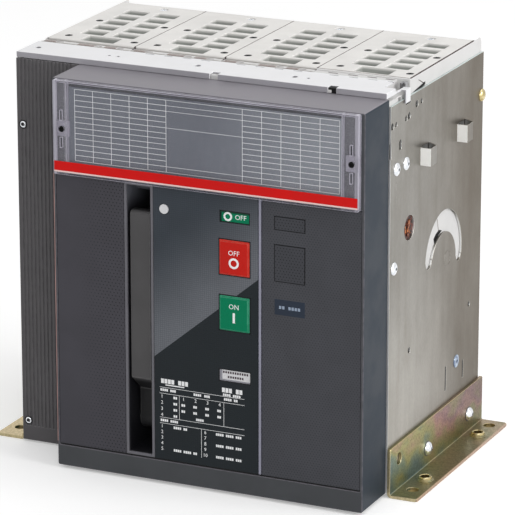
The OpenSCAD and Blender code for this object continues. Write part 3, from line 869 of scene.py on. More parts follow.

# A moulding's numbers are its roughness, the grain's depth and size, the clouds' strength
# and its painted edge highlights. A metal's are its roughness and the size of its mottling.
FINISHES: dict[str, Finish] = {
    "zinc_sheet": Sheet(PLATE_TONES),
    "yellow_zinc": Passivated(LEG_TONES, FLANGE_TONES, srgb(202, 184, 142)),
    # The darker front faces are painted shade.
    "white_sheet": Faced(srgb(230, 230, 232), 0.42, 0.01, 1.0, 0.02, dust=0.06,
                         front=srgb(160, 158, 164)),
    "white_moulding": Moulded(srgb(212, 211, 210), 0.55, 0.05, 0.9, 0.03, dust=0.1),
    # Darker low in the windows: partly the grey vent plates there, partly painted shade in the
    # recesses.
    "chamber_moulding": Faced(srgb(226, 224, 221), 0.6, 0.06, 0.8, 0.04, dust=0.12,
                              sunk=srgb(160, 162, 158), level=375.0),
    # Painted sheen on the top, painted shade on the right side, painted highlights on the edges.
    "frame_plastic": Faced(srgb(74, 76, 79), 0.42, 0.03, 0.7, 0.05, srgb(122, 118, 126), 0.5,
                           specular=0.15, up=srgb(132, 129, 135), right=srgb(32, 42, 53)),
    "panel_plastic": Moulded(srgb(72, 71, 77), 0.45, 0.04, 0.6, 0.05, specular=0.15),
    "left_panel_plastic": Dotted(srgb(71, 70, 76), 0.45, 0.06, 0.6, 0.05, specular=0.15,
                                 pitch=(3.5, 3.0), radius=0.56, fade=(-106.0, -62.0), depth=0.85),
    "centre_panel_plastic": TwoTone(srgb(60, 66, 73), 0.42, 0.05, 0.6, 0.04, specular=0.15),
    "right_panel_plastic": Dotted(srgb(72, 73, 78), 0.45, 0.05, 0.6, 0.05, specular=0.15,
                                  pitch=(2.8, 2.2), radius=0.46, depth=0.62,
                                  dot=(0.012, 0.012, 0.014)),
    "knockout_plastic": Dotted(srgb(66, 67, 72), 0.45, 0.05, 0.6, 0.05, specular=0.15,
                               pitch=(3.0, 2.6), radius=0.5, depth=0.8),
    # The light edge tone on the ribs is a painted highlight.
    "ribbed_plastic": Moulded(srgb(90, 88, 90), 0.45, 0.04, 0.7, 0.05, srgb(136, 134, 136), 0.6,
                              specular=0.2),
    # The lever darkens behind its front face: painted shade; its light edge tone is a painted
    # highlight.
    "lever_plastic": Pocketed(srgb(83, 82, 83), 0.4, 0.03, 0.5, 0.05, srgb(122, 121, 121), 0.35,
                              specular=0.15, inside=srgb(44, 44, 45), depths=(-49.5, -43.0)),
    # Painted shade inside the pocket, painted light high in its scoop.
    "pocket_plastic": Pocketed(srgb(105, 104, 110), 0.4, 0.04, 0.5, 0.05, specular=0.3,
                               painted_crown_light=srgb(112, 114, 122)),
    # The light edge tones of both buttons are painted highlights.
    "red_plastic": Moulded(srgb(198, 24, 12), 0.35, 0.015, 0.5, 0.03, srgb(236, 120, 104), 0.4,
                           specular=0.2),
    "green_plastic": Moulded(srgb(4, 124, 86), 0.35, 0.015, 0.5, 0.03, srgb(120, 206, 176), 0.4,
                             specular=0.1),
    "white_plastic": Moulded(srgb(222, 222, 224), 0.45, 0.015, 0.5, 0.03),
    "black_plastic": Moulded(srgb(14, 14, 16), 0.6, 0.03, 0.5, 0.05, specular=0.2),
    "label_plastic": Moulded(srgb(44, 52, 65), 0.5, 0.02, 0.5, 0.05, specular=0.15),
    "strip_plastic": Moulded(srgb(146, 146, 162), 0.4, 0.02, 0.5, 0.04),
    "milky_plastic": Moulded(srgb(150, 146, 160), 0.35, 0.01, 0.5, 0.04),
    # The darker front face is painted shade.
    "clip_plastic": Faced(srgb(150, 150, 152), 0.5, 0.02, 0.5, 0.04, front=srgb(96, 94, 96)),
    "diagram_plastic": Graded(srgb(100, 105, 114), 0.42, 0.004, 3.0, 0.02, specular=0.3),
    "clear_plastic": Clear(srgb(188, 184, 198), srgb(206, 203, 216), flat=0.045, wall_sheen=0.3,
                           rim=0.7),
    "red_stripe": Moulded(srgb(216, 20, 18), 0.35, 0.01, 0.5, 0.03, specular=0.15),
    "brown_board": Moulded(srgb(124, 106, 98), 0.7, 0.04, 0.6, 0.08),
    "plated_copper": Metal(srgb(215, 212, 205), srgb(196, 193, 186), 0.3, 90.0),
    "bare_copper": Metal(srgb(96, 42, 26), srgb(26, 12, 10), 0.45, 260.0, (0.42, 0.56), 0.3),
    "bright_copper": Metal(srgb(196, 118, 66), srgb(84, 36, 20), 0.3, 420.0, (0.4, 0.6), 0.6),
    "bright_steel": Metal(srgb(236, 238, 240), srgb(218, 221, 226), 0.12, shade=0.24),
    "plain_steel": Metal(srgb(226, 228, 230), srgb(206, 209, 214), 0.2),
    "blued_steel": Metal(srgb(176, 190, 204), srgb(120, 134, 160), 0.25),
    "golden_steel": Metal(srgb(216, 202, 158), srgb(176, 158, 108), 0.2, shade=0.6),
    "dark_steel": Moulded(srgb(92, 92, 94), 0.45, 0.02, 0.4, 0.08, specular=0.3),
    "black_steel": Moulded(srgb(12, 12, 13), 0.5, 0.02, 0.3, 0.1, specular=0.1),
    # Painted highlight for the hooks' front faces.
    "polished_face": Moulded(srgb(255, 255, 252), 0.3, 0.01, 0.5, 0.03),
    "pale_mark": Moulded(srgb(250, 251, 252), 0.6, 0.01, 0.3, 0.03, specular=0.3),
    "dark_mark": Moulded(srgb(58, 44, 50), 0.6, 0.01, 0.3, 0.03, specular=0.3),
    "soft_mark": Moulded(srgb(150, 164, 184), 0.6, 0.01, 0.3, 0.03, specular=0.3),
    # Painted shade on the spring window's rim.
    "window_rim": Moulded(srgb(150, 150, 158), 0.5, 0.01, 0.3, 0.03, specular=0.3),
    "cut_edge": Moulded(srgb(196, 208, 206), 0.4, 0.01, 0.5, 0.04),
    "pink_edge": Moulded(srgb(244, 214, 210), 0.4, 0.01, 0.5, 0.04),
    # Painted highlight for the frame's left front edge.
    "warm_edge": Moulded(srgb(158, 124, 120), 0.5, 0.01, 0.5, 0.2),
    "seam_shadow": Moulded(srgb(78, 68, 66), 0.7, 0.02, 0.5, 0.1, specular=0.1),
    "soft_shadow": Moulded(srgb(120, 108, 104), 0.7, 0.02, 0.5, 0.1, specular=0.1),
    "green_shade": Moulded(srgb(4, 62, 44), 0.5, 0.01, 0.5, 0.04, specular=0.2),
    "golden_shade": Moulded(srgb(124, 106, 62), 0.5, 0.02, 0.5, 0.2),
}


class Paintbox(dict[str, Material]):
    """The finishes' materials by name, each built on first use."""

    def __init__(self) -> None:
        """Prepares the shared effects."""
        super().__init__()
        self.effects = Effects()

    def __missing__(self, name: str) -> Material:
        """Builds, keeps and returns a finish's material."""
        self[name] = FINISHES[name].make(name, self.effects)
        return self[name]


# ---- forms


class Recess(Enum):
    """The hole in a screw head."""

    CROSS = "cross"
    SLOT = "slot"
    STAR = "star"

    def reach(self, size: float, angle: float) -> float:
        """Gives how far the recess goes from the head's middle.

        Args:
            size: The recess's radius.
            angle: The direction, in radians.

        Returns:
            The distance, in the size's unit.
        """
        if self is Recess.STAR:
            return size * (0.84 + 0.16 * math.cos(6 * angle))
        period = math.pi / 2 if self is Recess.CROSS else math.pi
        turn = (angle + period / 2) % period - period / 2
        return min(size / max(math.cos(turn), 1e-6), 0.24 * size / max(abs(math.sin(turn)), 1e-6))


def show(name: str, data: bpy.types.ID) -> Thing:
    """Puts a new object into the scene.

    Args:
        name: The object's name.
        data: Its mesh, text, lamp or camera.

    Returns:
        The new object.
    """
    thing = bpy.data.objects.new(name, data)
    bpy.context.scene.collection.objects.link(thing)
    return thing


def evaluated(thing: Thing) -> bpy.types.Mesh:
    """Takes an object's mesh as its modifiers leave it.

    Args:
        thing: The object, or a text object.

    Returns:
        A new mesh.
    """
    bpy.context.view_layer.update()
    graph = bpy.context.evaluated_depsgraph_get()
    return bpy.data.meshes.new_from_object(thing.evaluated_get(graph), depsgraph=graph)


def settle(mesh: bmesh.types.BMesh, name: str, finish: Material) -> Thing:
    """Puts a mesh in metres into the scene, smooth except across its sharp edges.

    Args:
        mesh: The mesh, which is freed.
        name: The object's name.
        finish: Its material.

    Returns:
        The new object.
    """
    for face in mesh.faces:
        face.smooth = True
    for edge in mesh.edges:
        edge.smooth = len(edge.link_faces) == 2 and edge.calc_face_angle(0.0) < SHARP_ANGLE
    data = bpy.data.meshes.new(name)
    mesh.to_mesh(data)
    mesh.free()
    data.materials.append(finish)
    return show(name, data)


class Form:
    """A mesh under construction, in millimetres until it is finished."""

    def __init__(self) -> None:
        """Starts an empty mesh."""
        self.mesh = bmesh.new()
        self.edge = self.mesh.loops.layers.float.new(EDGE)

    @classmethod
    def copy(cls, data: bpy.types.Mesh) -> "Form":
        """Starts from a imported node's mesh, in metres, with its loose triangles joined.

        Args:
            data: The node's mesh.

        Returns:
            The new form.
        """
        form = cls()
        form.join(data)
        bmesh.ops.remove_doubles(form.mesh, verts=form.mesh.verts, dist=5e-6)
        bmesh.ops.dissolve_limit(form.mesh, angle_limit=math.radians(0.5), verts=form.mesh.verts,
                                 edges=form.mesh.edges)
        return form

    def join(self, data: bpy.types.Mesh) -> None:
        """Adds a mesh, which renews the layers."""
        self.mesh.from_mesh(data)
        self.edge = self.mesh.loops.layers.float[EDGE]

    def block(self, low: Iterable[float], high: Iterable[float], place: Matrix = Matrix(),
              edge: float = 0.0, steps: int = 1) -> "Form":
        """Adds a box with eased edges.

        Args:
            low: Its lowest corner.
            high: Its highest corner.
            place: Where the drawing goes.
            edge: The width of the eased edges.
            steps: Segments across an eased edge.

        Returns:
            This form.
        """
        verts = bmesh.ops.create_cube(self.mesh, size=1.0)["verts"]
        low, high = Vector(low), Vector(high)
        for vert in verts:
            share = vert.co + Vector((0.5, 0.5, 0.5))
            vert.co = place @ Vector([a + s * (b - a) for a, b, s in zip(low, high, share)])
        if edge:
            self.ease({e for v in verts for e in v.link_edges}, edge, steps)
        return self

    def ease(self, edges: Iterable[bmesh.types.BMEdge], width: float, steps: int = 1) -> None:
        """Bevels edges and marks the new faces as edge faces.

        Args:
            edges: The edges.
            width: The bevel's width.
            steps: Segments across it.
        """
        made = bmesh.ops.bevel(self.mesh, geom=list(edges), offset=width, segments=steps,
                               profile=0.5, affect="EDGES", clamp_overlap=False)
        for face in made["faces"]:
            for loop in face.loops:
                loop[self.edge] = 1.0

    def turned(self, profile: Iterable[tuple[Reach, float]], place: Matrix = Matrix(),
               steps: int = 32) -> "Form":
        """Adds a closed form that runs round an axis.

        Args:
            profile: Radius and height pairs; a radius may be a function of the angle.
            place: Where the drawing goes.
            steps: Points round the axis.

        Returns:
            This form.
        """
        rings = []
        for reach, height in profile:
            if not callable(reach) and reach < 1e-6:
                rings.append([self.mesh.verts.new(place @ Vector((0, 0, height)))])
                continue
            ring = []
            for k in range(steps):
                angle = 2 * math.pi * k / steps
                radius = reach(angle) if callable(reach) else reach
                spot = Vector((radius * math.cos(angle), radius * math.sin(angle), height))
                ring.append(self.mesh.verts.new(place @ spot))
            rings.append(ring)
        for lower, upper in zip(rings, rings[1:]):
            for k in range(steps):
                corners = [lower[k % len(lower)], lower[(k + 1) % len(lower)],
                           upper[(k + 1) % len(upper)], upper[k % len(upper)]]
                self.mesh.faces.new(list(dict.fromkeys(corners)))
        return self

    def slab(self, outline: Iterable[Pair], thick: float, place: Matrix = Matrix()) -> "Form":
        """Adds a flat plate of any outline, from height 0 up.

        Args:
            outline: Its corners.
            thick: Its thickness.
            place: Where the drawing goes.

        Returns:
            This form.
        """
        low, high = ([self.mesh.verts.new(place @ Vector((x, y, z))) for x, y in outline]
                     for z in (0.0, thick))
        self.mesh.faces.new(low[::-1])
        self.mesh.faces.new(high)
        for k in range(len(low)):
            after = (k + 1) % len(low)
            self.mesh.faces.new([low[k], low[after], high[after], high[k]])
        return self

    def ring(self, outer: float, inner: float, thick: float, place: Matrix = Matrix()) -> "Form":
        """Adds a flat ring."""
        profile = ((inner, 0), (outer, 0), (outer, thick), (inner, thick), (inner, 0))
        return self.turned(profile, place, 40)

    def letters(self, text: str, size: float, place: Matrix, thick: float = 0.12) -> "Form":
        """Adds raised lettering, centred on its place.

        Args:
            text: The words.
            size: The letters' size.
            place: Where the drawing goes.
            thick: How far the letters stand out.

        Returns:
            This form.
        """
        curve = bpy.data.curves.new("letters", "FONT")
        curve.body, curve.size, curve.extrude = text, size, thick / 2
        curve.align_x, curve.align_y, curve.resolution_u = "CENTER", "CENTER", 2
        holder = show("letters", curve)
        shape = evaluated(holder)
        shape.transform(place @ Matrix.Translation((0, 0, thick / 2)))
        self.join(shape)
        for thing, store in ((holder, bpy.data.objects), (curve, bpy.data.curves),
                             (shape, bpy.data.meshes)):
            store.remove(thing)
        return self

    def object(self, name: str, finish: Material) -> Thing:
        """Ends the form as a mesh object in metres.

        Args:
            name: The object's name.
            finish: Its material.

        Returns:
            The new object.
        """
        bmesh.ops.remove_doubles(self.mesh, verts=self.mesh.verts, dist=0.001)
        bmesh.ops.recalc_face_normals(self.mesh, faces=self.mesh.faces)
        self.mesh.transform(Matrix.Translation(front_edge()) @ Matrix.Scale(MM, 4))
        return settle(self.mesh, name, finish)


@dataclass(frozen=True)
class Screw:
    """A screw head with its recess, and a washer under it if it has one."""

    radius: float
    height: float
    recess: Recess
    drive: float
    washer: float = 0.0
    washer_height: float = 0.8
    washer_edge: float = 0.3
    sunk: float = 0.3

    def form(self) -> Form:
        """Draws the head, standing on height 0.

        Returns:
            The head.
        """
        form, base, sunk = Form(), 0.0, self.sunk
        if self.washer:
            rim, base = self.washer, self.washer_height
            form.turned(((0, -sunk), (rim, -sunk), (rim, base - self.washer_edge),
                         (rim - self.washer_edge, base), (0, base)), steps=40)
        top, floor = base + self.height, base + 0.4 * self.height

        def reach(angle: float) -> float:
            """Returns the recess's radius at an angle."""
            return self.recess.reach(self.drive, angle)

        return form.turned(((0, base - sunk), (self.radius, base - sunk),
                            (self.radius, base + 0.5 * self.height),
                            (0.94 * self.radius, base + 0.8 * self.height),
                            (0.8 * self.radius, top), (reach, top), (reach, floor), (0, floor)),
                           steps=48)


def dome(radius: float, height: float, drive: float = 0.0) -> Form:
    """Draws a domed head standing on height 0, with a small recess if it has one.

    Args:
        radius: The head's radius.
        height: The dome's height.
        drive: The recess's radius.

    Returns:
        The head.
    """
    rim, sunk, depth = 0.35, -0.3, 1.2
    turns = [k * math.pi / 14 for k in range(7)]
    profile = [(0, sunk), (radius, sunk)]
    profile += [(radius * math.cos(t), rim + (height - rim) * math.sin(t)) for t in turns]
    if drive:
        while profile[-1][0] < drive:
            profile.pop()
        profile += [(drive, height - 0.1), (0.9 * drive, height - depth), (0, height - depth)]
    else:
        profile.append((0, height))
    return Form().turned(profile)


class GeometryTree(Wires):
    """A Geometry Nodes tree with named inputs, run once on an object."""

    def __init__(self, name: str, inputs: dict[str, str]) -> None:
        """Makes the tree and its interface.

        Args:
            name: The tree's name.
            inputs: The inputs' names and socket types.
        """
        super().__init__(bpy.data.node_groups.new(name, "GeometryNodeTree"))
        face = self.tree.interface
        face.new_socket("Geometry", in_out="INPUT", socket_type="NodeSocketGeometry")
        self.sockets = {label: face.new_socket(label, in_out="INPUT", socket_type=kind)
                        for label, kind in inputs.items()}
        face.new_socket("Geometry", in_out="OUTPUT", socket_type="NodeSocketGeometry")
        self.given = self.add("NodeGroupInput").outputs

    def end(self, geometry: Socket) -> None:
        """Closes the tree with Realize Instances and Set Material.

        Args:
            geometry: What the tree has made.
        """
        real = self.add("GeometryNodeRealizeInstances", Geometry=geometry).outputs[0]
        done = self.add("GeometryNodeSetMaterial", Geometry=real, Material=self.given["Finish"])
        self.add("NodeGroupOutput", Geometry=done.outputs[0])

    def run(self, name: str, points: bpy.types.Mesh, **values: object) -> Thing:
        """Runs the tree on points and keeps its result as a mesh object.

        Args:
            name: The new object's name.
            points: The mesh that the tree starts from.
            values: Values of the inputs.

        Returns:
            The new object.
        """
        carrier = show("carrier", points)
        modifier = carrier.modifiers.new("tree", "NODES")
        modifier.node_group = self.tree
        for label, value in values.items():
            modifier[self.sockets[label].identifier] = value
        data = evaluated(carrier)
        data.name = name
        bpy.data.objects.remove(carrier)
        return show(name, data)


class Repeater(GeometryTree):
    """Puts copies of one small piece at many places."""

    def __init__(self) -> None:
        """Builds the tree: instances on points, turned by the points' own turns."""
        super().__init__("repeat_piece", {"Piece": "NodeSocketObject",
                                          "Finish": "NodeSocketMaterial"})
        turn = self.add("GeometryNodeInputNamedAttribute", {"data_type": "FLOAT_VECTOR"},
                        Name="turn").outputs[0]
        turned = self.add("FunctionNodeEulerToRotation", Euler=turn).outputs[0]
        piece = self.add("GeometryNodeObjectInfo", Object=self.given["Piece"]).outputs["Geometry"]
        self.end(self.add("GeometryNodeInstanceOnPoints", Points=self.given["Geometry"],
                          Instance=piece, Rotation=turned).outputs[0])

    def repeat(self, name: str, form: Form, places: list[Matrix], finish: Material) -> Thing:
        """Repeats a form drawn at the origin.

        Args:
            name: The new object's name.
            form: The piece, standing on height 0.
            places: Where the copies go.
            finish: Their material.

        Returns:
            One mesh object with all the copies.
        """
        bmesh.ops.recalc_face_normals(form.mesh, faces=form.mesh.faces)
        form.mesh.transform(Matrix.Scale(MM, 4))
        piece = settle(form.mesh, name + "_one", finish)
        points = bpy.data.meshes.new(name + "_places")
        spots = [front_edge() + place.to_translation() * MM for place in places]
        points.from_pydata(spots, [], [])
        turns = points.attributes.new("turn", "FLOAT_VECTOR", "POINT")
        for slot, place in zip(turns.data, places):
            slot.vector = place.to_euler()
        thing = self.run(name, points, Piece=piece, Finish=finish)
        bpy.data.objects.remove(piece)
        return thing


class RuledTable(GeometryTree):
    """Draws a table's lines as thin raised bars on a front face."""

    def __init__(self) -> None:
        """Builds the tree: one row of upright bars and one row of level bars."""
        sizes = dict.fromkeys(("Width", "Height", "Line", "Thick"), "NodeSocketFloat")
        super().__init__("ruled_table", {
            "Columns": "NodeSocketInt", "Rows": "NodeSocketInt", **sizes,
            "Finish": "NodeSocketMaterial"})
        given = self.given
        joined = self.add("GeometryNodeJoinGeometry")
        for count, along, across, way, cross in (("Columns", "Width", "Height", "X", "Z"),
                                                 ("Rows", "Height", "Width", "Z", "X")):
            step = self.vector(**{way: self.over(given[along], given[count])})
            row = self.add("GeometryNodeMeshLine", Count=self.plus(given[count], 1.0),
                           Offset=step).outputs[0]
            size = self.vector(**{way: given["Line"], "Y": given["Thick"],
                                  cross: self.plus(given[across], given["Line"])})
            middle = self.vector(**{cross: self.over(given[across], 2.0)})
            bar = self.add("GeometryNodeMeshCube", Size=size).outputs[0]
            laid = self.add("GeometryNodeTransform", Geometry=bar, Translation=middle).outputs[0]
            bars = self.add("GeometryNodeInstanceOnPoints", Points=row, Instance=laid).outputs[0]
            self.feed(joined.inputs[0], bars)
        self.end(joined.outputs[0])

    def vector(self, **parts: Feed) -> Socket:
        """Returns a vector from its parts X, Y and Z."""
        return self.add("ShaderNodeCombineXYZ", **parts).outputs[0]

    def draw(self, name: str, low: Vector, size: Pair, cells: tuple[int, int],
             finish: Material, line: float = 0.44, thick: float = 0.2) -> Thing:
        """Draws one table.

        Args:
            name: The new object's name.
            low: The lower left corner: X, depth and height.
            size: Width and height.
            cells: Columns and rows.
            finish: The lines' material.
            line: The lines' width.
            thick: How thick the bars are, half of it behind the face.

        Returns:
            One mesh object with all the lines.
        """
        thing = self.run(name, bpy.data.meshes.new(name), Columns=cells[0], Rows=cells[1],
                         Width=size[0] * MM, Height=size[1] * MM, Line=line * MM,
                         Thick=thick * MM, Finish=finish)
        thing.data.transform(Matrix.Translation(front_edge() + low * MM))
        return thing


# ---- workshop


class Workshop:
    """Tools and finishes that every sub-assembly uses."""

    def __init__(self) -> None:
        """Prepares the finishes and the geometry trees."""
        self.paint = Paintbox()
        self.repeater = Repeater()
        self.tables = RuledTable()
        self.slots = {part["node"]: part["material_slot"] for part in frame["record"]["subparts"]}

    def place(self, thing: Thing, body: str = CASE, slot: str | None = None,
              replaces: Iterable[str] = ()) -> None:
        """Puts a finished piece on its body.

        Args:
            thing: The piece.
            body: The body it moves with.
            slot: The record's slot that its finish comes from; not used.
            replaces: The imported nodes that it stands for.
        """
        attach(thing, body)
        if replaces:
            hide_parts(*replaces)
        LOG.info("%s: %d faces on %s", thing.name, len(thing.data.polygons), body)

    def put(self, name: str, form: Form, finish: str, slot: str | None = None,
            body: str = CASE) -> None:
        """Ends a form as a piece."""
        self.place(form.object(name, self.paint[finish]), body, slot)

    def repeat(self, name: str, form: Form, places: list[Matrix], finish: str) -> None:
        """Puts copies of a form on the case."""
        slot = finish if finish in self.slots.values() else None
        self.place(self.repeater.repeat(name, form, places, self.paint[finish]), slot=slot)

    def coat(self, node: str, finish: str) -> None:
        """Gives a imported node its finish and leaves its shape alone.

        Args:
            node: The node.
            finish: The finish's name.
        """
        slots = frame["nodes"][node].data.materials
        slots.clear()
        slots.append(self.paint[finish])
        LOG.info("%s: finished as packed", node)

    def eased(self, node: str, edge: float = 0.4, steps: int = 1, body: str = CASE,
              finish: str | None = None) -> None:
        """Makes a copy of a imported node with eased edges, which stands for it.

        Args:
            node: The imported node.
            edge: The width of the eased edges, in millimetres.
            steps: Segments across an eased edge.
            body: The body it moves with.
            finish: The copy's finish, or None for that of the node's slot.
        """
        form, slot = Form.copy(frame["nodes"][node].data), self.slots[node]
        form.ease([e for e in form.mesh.edges if len(e.link_faces) == 2
                   and e.calc_face_angle(0) > EASED_ANGLE], edge * MM, steps)
        thing = settle(form.mesh, node + "_eased", self.paint[finish or slot])
        if steps > 1:
            self.weight(thing)
        self.place(thing, body, slot, (node,))

    @staticmethod
    def weight(thing: Thing) -> None:
        """Gives a piece normals that keep its large faces flat.

        Args:
            thing: The piece, whose mesh is replaced.
        """
        thing.modifiers.new("flat_faces", "WEIGHTED_NORMAL").keep_sharp = True
        old, thing.data = thing.data, evaluated(thing)
        thing.modifiers.clear()
        bpy.data.meshes.remove(old)


# ---- sub-assemblies


@dataclass(frozen=True)
class Unit:
    """A sub-assembly that is built with the shop's tools."""

    shop: Workshop

    def build(self) -> None:
        """Makes the pieces."""
        raise NotImplementedError


@dataclass(frozen=True)
class SideSheets(Unit):
    """The two steel side plates with their fixings, and the feet under them."""

    plate_thick: float = 2.0
    leg_thick: float = 3.0
    pan_screws: Pairs = ((13.2, 301.7), (34.9, 301.6), (8.9, 211.8))
    pan_turn: float = 30.0
    rivet: Pair = (162.1, 79.0)
    foot_screws: Pairs = ((87.0, 18.5), (188.0, 19.3))
    foot_turn: float = 20.0
    foot_washer: Pairs = ((0, 0.02), (7.1, 0.02), (7.1, 0.3), (6.0, 0.45), (0, 0.45))
    rear_screw: Pair = (214.5, 320.9)
    shims: tuple[tuple[float, float, float, float], ...] = (
        (1.0, 60.0, 262.0, 357.0), (5.0, 214.0, 55.0, 172.0))
    shim_half: float = 0.06
    shim_gap: float = 0.15
    slot_mark: Triple = (14.4, 266.2, 289.2)
    slot_mark_half: float = 1.7
    tongue_mark: Triple = (136.9, 185.9, 7.6)
    tongue_line: float = 1.2
    mark_height: float = 0.15
    small_holes: Triples = (
        (3.5, 342.5, 3.2), (12.0, 342.5, 2.4), (34.6, 342.5, 2.6), (41.6, 343.3, 3.2),
        (59.0, 350.0, 3.2), (70.0, 350.0, 2.4), (47.5, 124.5, 2.8), (192.0, 125.7, 2.6),
        (22.0, 321.7, 3.6))
    hole_floor: float = 1.7
    upright_slots: Triples = ((136.4, 58.0, 81.5), (178.9, 58.0, 75.0))
    slot_half: float = 1.6
    slot_floor: float = 0.5
    hooks: Pair = (68.5, 156.0)
    hook_levels: Pair = (291.2, 307.3)
    hook_reach: Pair = (0.1, 9.7)
    crescent: Triple = (127.0, 190.0, 46.0)
    crescent_floor: float = 2.75
    crescent_gap: Pairs = (
        (107.5, 211.5), (112.5, 214.8), (120.0, 217.0), (127.5, 214.6), (118.0, 211.5),
        (110.5, 205.0))
    crescent_line: Pairs = ((118.6, 216.5), (119.6, 216.4), (116.3, 228.6), (115.4, 228.4))
    top_edge_depths: Pair = (0.4, 218.4)
    top_edge_inset: float = 0.15
    foot_hole_across: float = 16.0
    foot_holes: Pair = (21.0, 209.0)
    collars: Pair = (50.0, 180.0)
    collar: Pairs = ((4.3, 2.8), (4.3, 5.8), (4.8, 6.2), (5.6, 6.2), (6.3, 5.6),
                     (6.5, 4.4), (6.5, 2.8), (4.3, 2.8))
    hole_bottom: Pairs = ((0, 0.1), (5.3, 0.1), (5.3, 0.7), (4.6, 0.4), (0, 0.4))

    def build(self) -> None:
        """Makes the plates' and feet's finish, their screws and their trim."""
        for side in ("left", "right"):
            self.shop.eased(f"{side}_side_plate", 0.2)
            self.shop.eased(f"{side}_foot", 0.35)
        face = Extent.of("right_foot").low.x
        pan, foot, rivets, rear = [], [], [], []
        marks, shims = Form(), Form()
        for facing, sign in SIDES:
            plate, leg = sign * face, sign * (face + self.leg_thick)
            pan += [facing.at((plate, *spot), self.pan_turn * k)
                    for k, spot in enumerate(self.pan_screws)]
            foot += [facing.at((leg, *spot), self.foot_turn) for spot in self.foot_screws]
            rivets.append(facing.at((plate, *self.rivet)))
            rear.append(facing.at((plate, *self.rear_screw)))
            self._marks(marks, facing, plate)
            inside = sign * (face - self.plate_thick - self.shim_gap)
            for front, back, low, high in self.shims:
                shims.block((-self.shim_half, front, low), (self.shim_half, back, high),
                            Matrix.Translation((inside, 0, 0)))
        for name, form, places, finish in (
                ("foot_screw_washers", Form().turned(self.foot_washer), foot, "dark_steel"),
                ("side_plate_screws", dome(6.2, 2.8, 1.5), pan, "bright_steel"),
                ("foot_screws", dome(6.6, 4.4, 1.9), foot, "bright_steel"),
                ("side_plate_rivets", dome(6.2, 1.1, 1.6), rivets, "blued_steel"),
                ("rear_edge_screws", dome(6.0, 3.6), rear, "golden_steel")):
            self.shop.repeat(name, form, places, finish)
        self._openings(face)
        self._foot_rims(face + self.foot_hole_across)
        self.shop.put("side_plate_embossing", marks, "zinc_sheet", "zinc_sheet")
        self.shop.put("side_shims", shims, "black_plastic")

    def _openings(self, face: float) -> None:
        """Paints shade in openings and highlights on hook faces; dresses the crescents and top
        edges.

        Args:
            face: How far out the right plate's outer face lies.
        """
        dark, liners, gaps, lines, front_highlights, edges = (Form() for _ in range(6))
        top = Extent.of("right_side_plate").high.z
        low, high = self.hook_levels
        depth, height, radius = self.crescent
        for facing, sign in SIDES:
            # Dark bowls under the small holes and strips in the slots: painted shade.
            for at, level, wide in self.small_holes:
                bowl = ((0, -0.3), (wide + 0.2, -0.3), (wide + 0.2, 0.1), (0.7 * wide, 0), (0, 0))
                spot = (sign * (face - self.hole_floor), at, level)
                dark.turned(bowl, facing.at(spot), 20)
            for at, start, end in self.upright_slots:
                floor = sign * (face - self.slot_floor)
                dark.block((floor - 0.2, at - self.slot_half, start - 0.3),
                           (floor + 0.2, at + self.slot_half, end + 0.3))
            # Painted highlights on the hooks' front faces.
            for hook in self.hooks:
                near, far = sorted(sign * (face + reach) for reach in self.hook_reach)
                front_highlights.block((near, hook - 0.12, low), (far, hook + 0.05, high))
            floor = sign * (face - self.crescent_floor)
            liner = ((0, -0.2), (radius, -0.2), (radius, 0.4), (radius - 2, 0.5), (0, 0.5))
            liners.turned(liner, facing.at((floor, depth, height)), 72)
            # On the right plate, painted shade beside the tongue and a painted shadow line.
            if facing is Facing.RIGHT:
                for form, outline in ((gaps, self.crescent_gap), (lines, self.crescent_line)):
                    form.slab(outline, 0.05, facing.at((floor + 0.5, 0, 0)))
            near, far = sorted((sign * (face - self.plate_thick + self.top_edge_inset),
                                sign * (face - self.top_edge_inset)))
            front, back = self.top_edge_depths
            edges.block((near, front, top - 0.05), (far, back, top + 0.08))
        for name, form, finish in (("opening_shadows", dark, "black_plastic"),
                                   ("crescent_liners", liners, "white_moulding"),
                                   ("crescent_gap", gaps, "black_plastic"),
                                   ("crescent_line", lines, "soft_shadow"),
                                   ("hook_fronts", front_highlights, "polished_face"),
                                   ("plate_top_edges", edges, "cut_edge")):
            self.shop.put(name, form, finish)

    def _foot_rims(self, across: float) -> None:
        """Puts golden collars on the feet and painted shade at the bottoms of their holes.

        Args:
            across: How far out the holes lie.
        """
        rims, hole_shades = Form(), Form()
        for x in (across, -across):
            for depth in self.collars:
                rims.turned(self.collar, Matrix.Translation((x, depth, 0)), 40)
            for depth in (*self.collars, *self.foot_holes):
                hole_shades.turned(self.hole_bottom, Matrix.Translation((x, depth, 0)))
        self.shop.put("foot_collars", rims, "golden_steel")
        self.shop.put("foot_hole_floors", hole_shades, "golden_shade")

    def _marks(self, form: Form, facing: Facing, plate: float) -> None:
        """Adds the pressed slot and the pressed ring on one plate.

        Args:
            form: What they are added to.
            facing: The way the plate looks.
            plate: X of its outer face.
        """
        depth, low, high = self.slot_mark
        half = self.slot_mark_half
        turns = [k * math.pi / 8 for k in range(9)]
        arc = [(half * math.cos(turn), half * math.sin(turn)) for turn in turns]
        outline = [(x, high - half + y) for x, y in arc] + [(-x, low + half - y) for x, y in arc]
        form.slab(outline, self.mark_height, facing.at((plate, depth, 0)))
        depth, height, radius = self.tongue_mark
        form.ring(radius, radius - self.tongue_line, self.mark_height,
                  facing.at((plate, depth, height)))


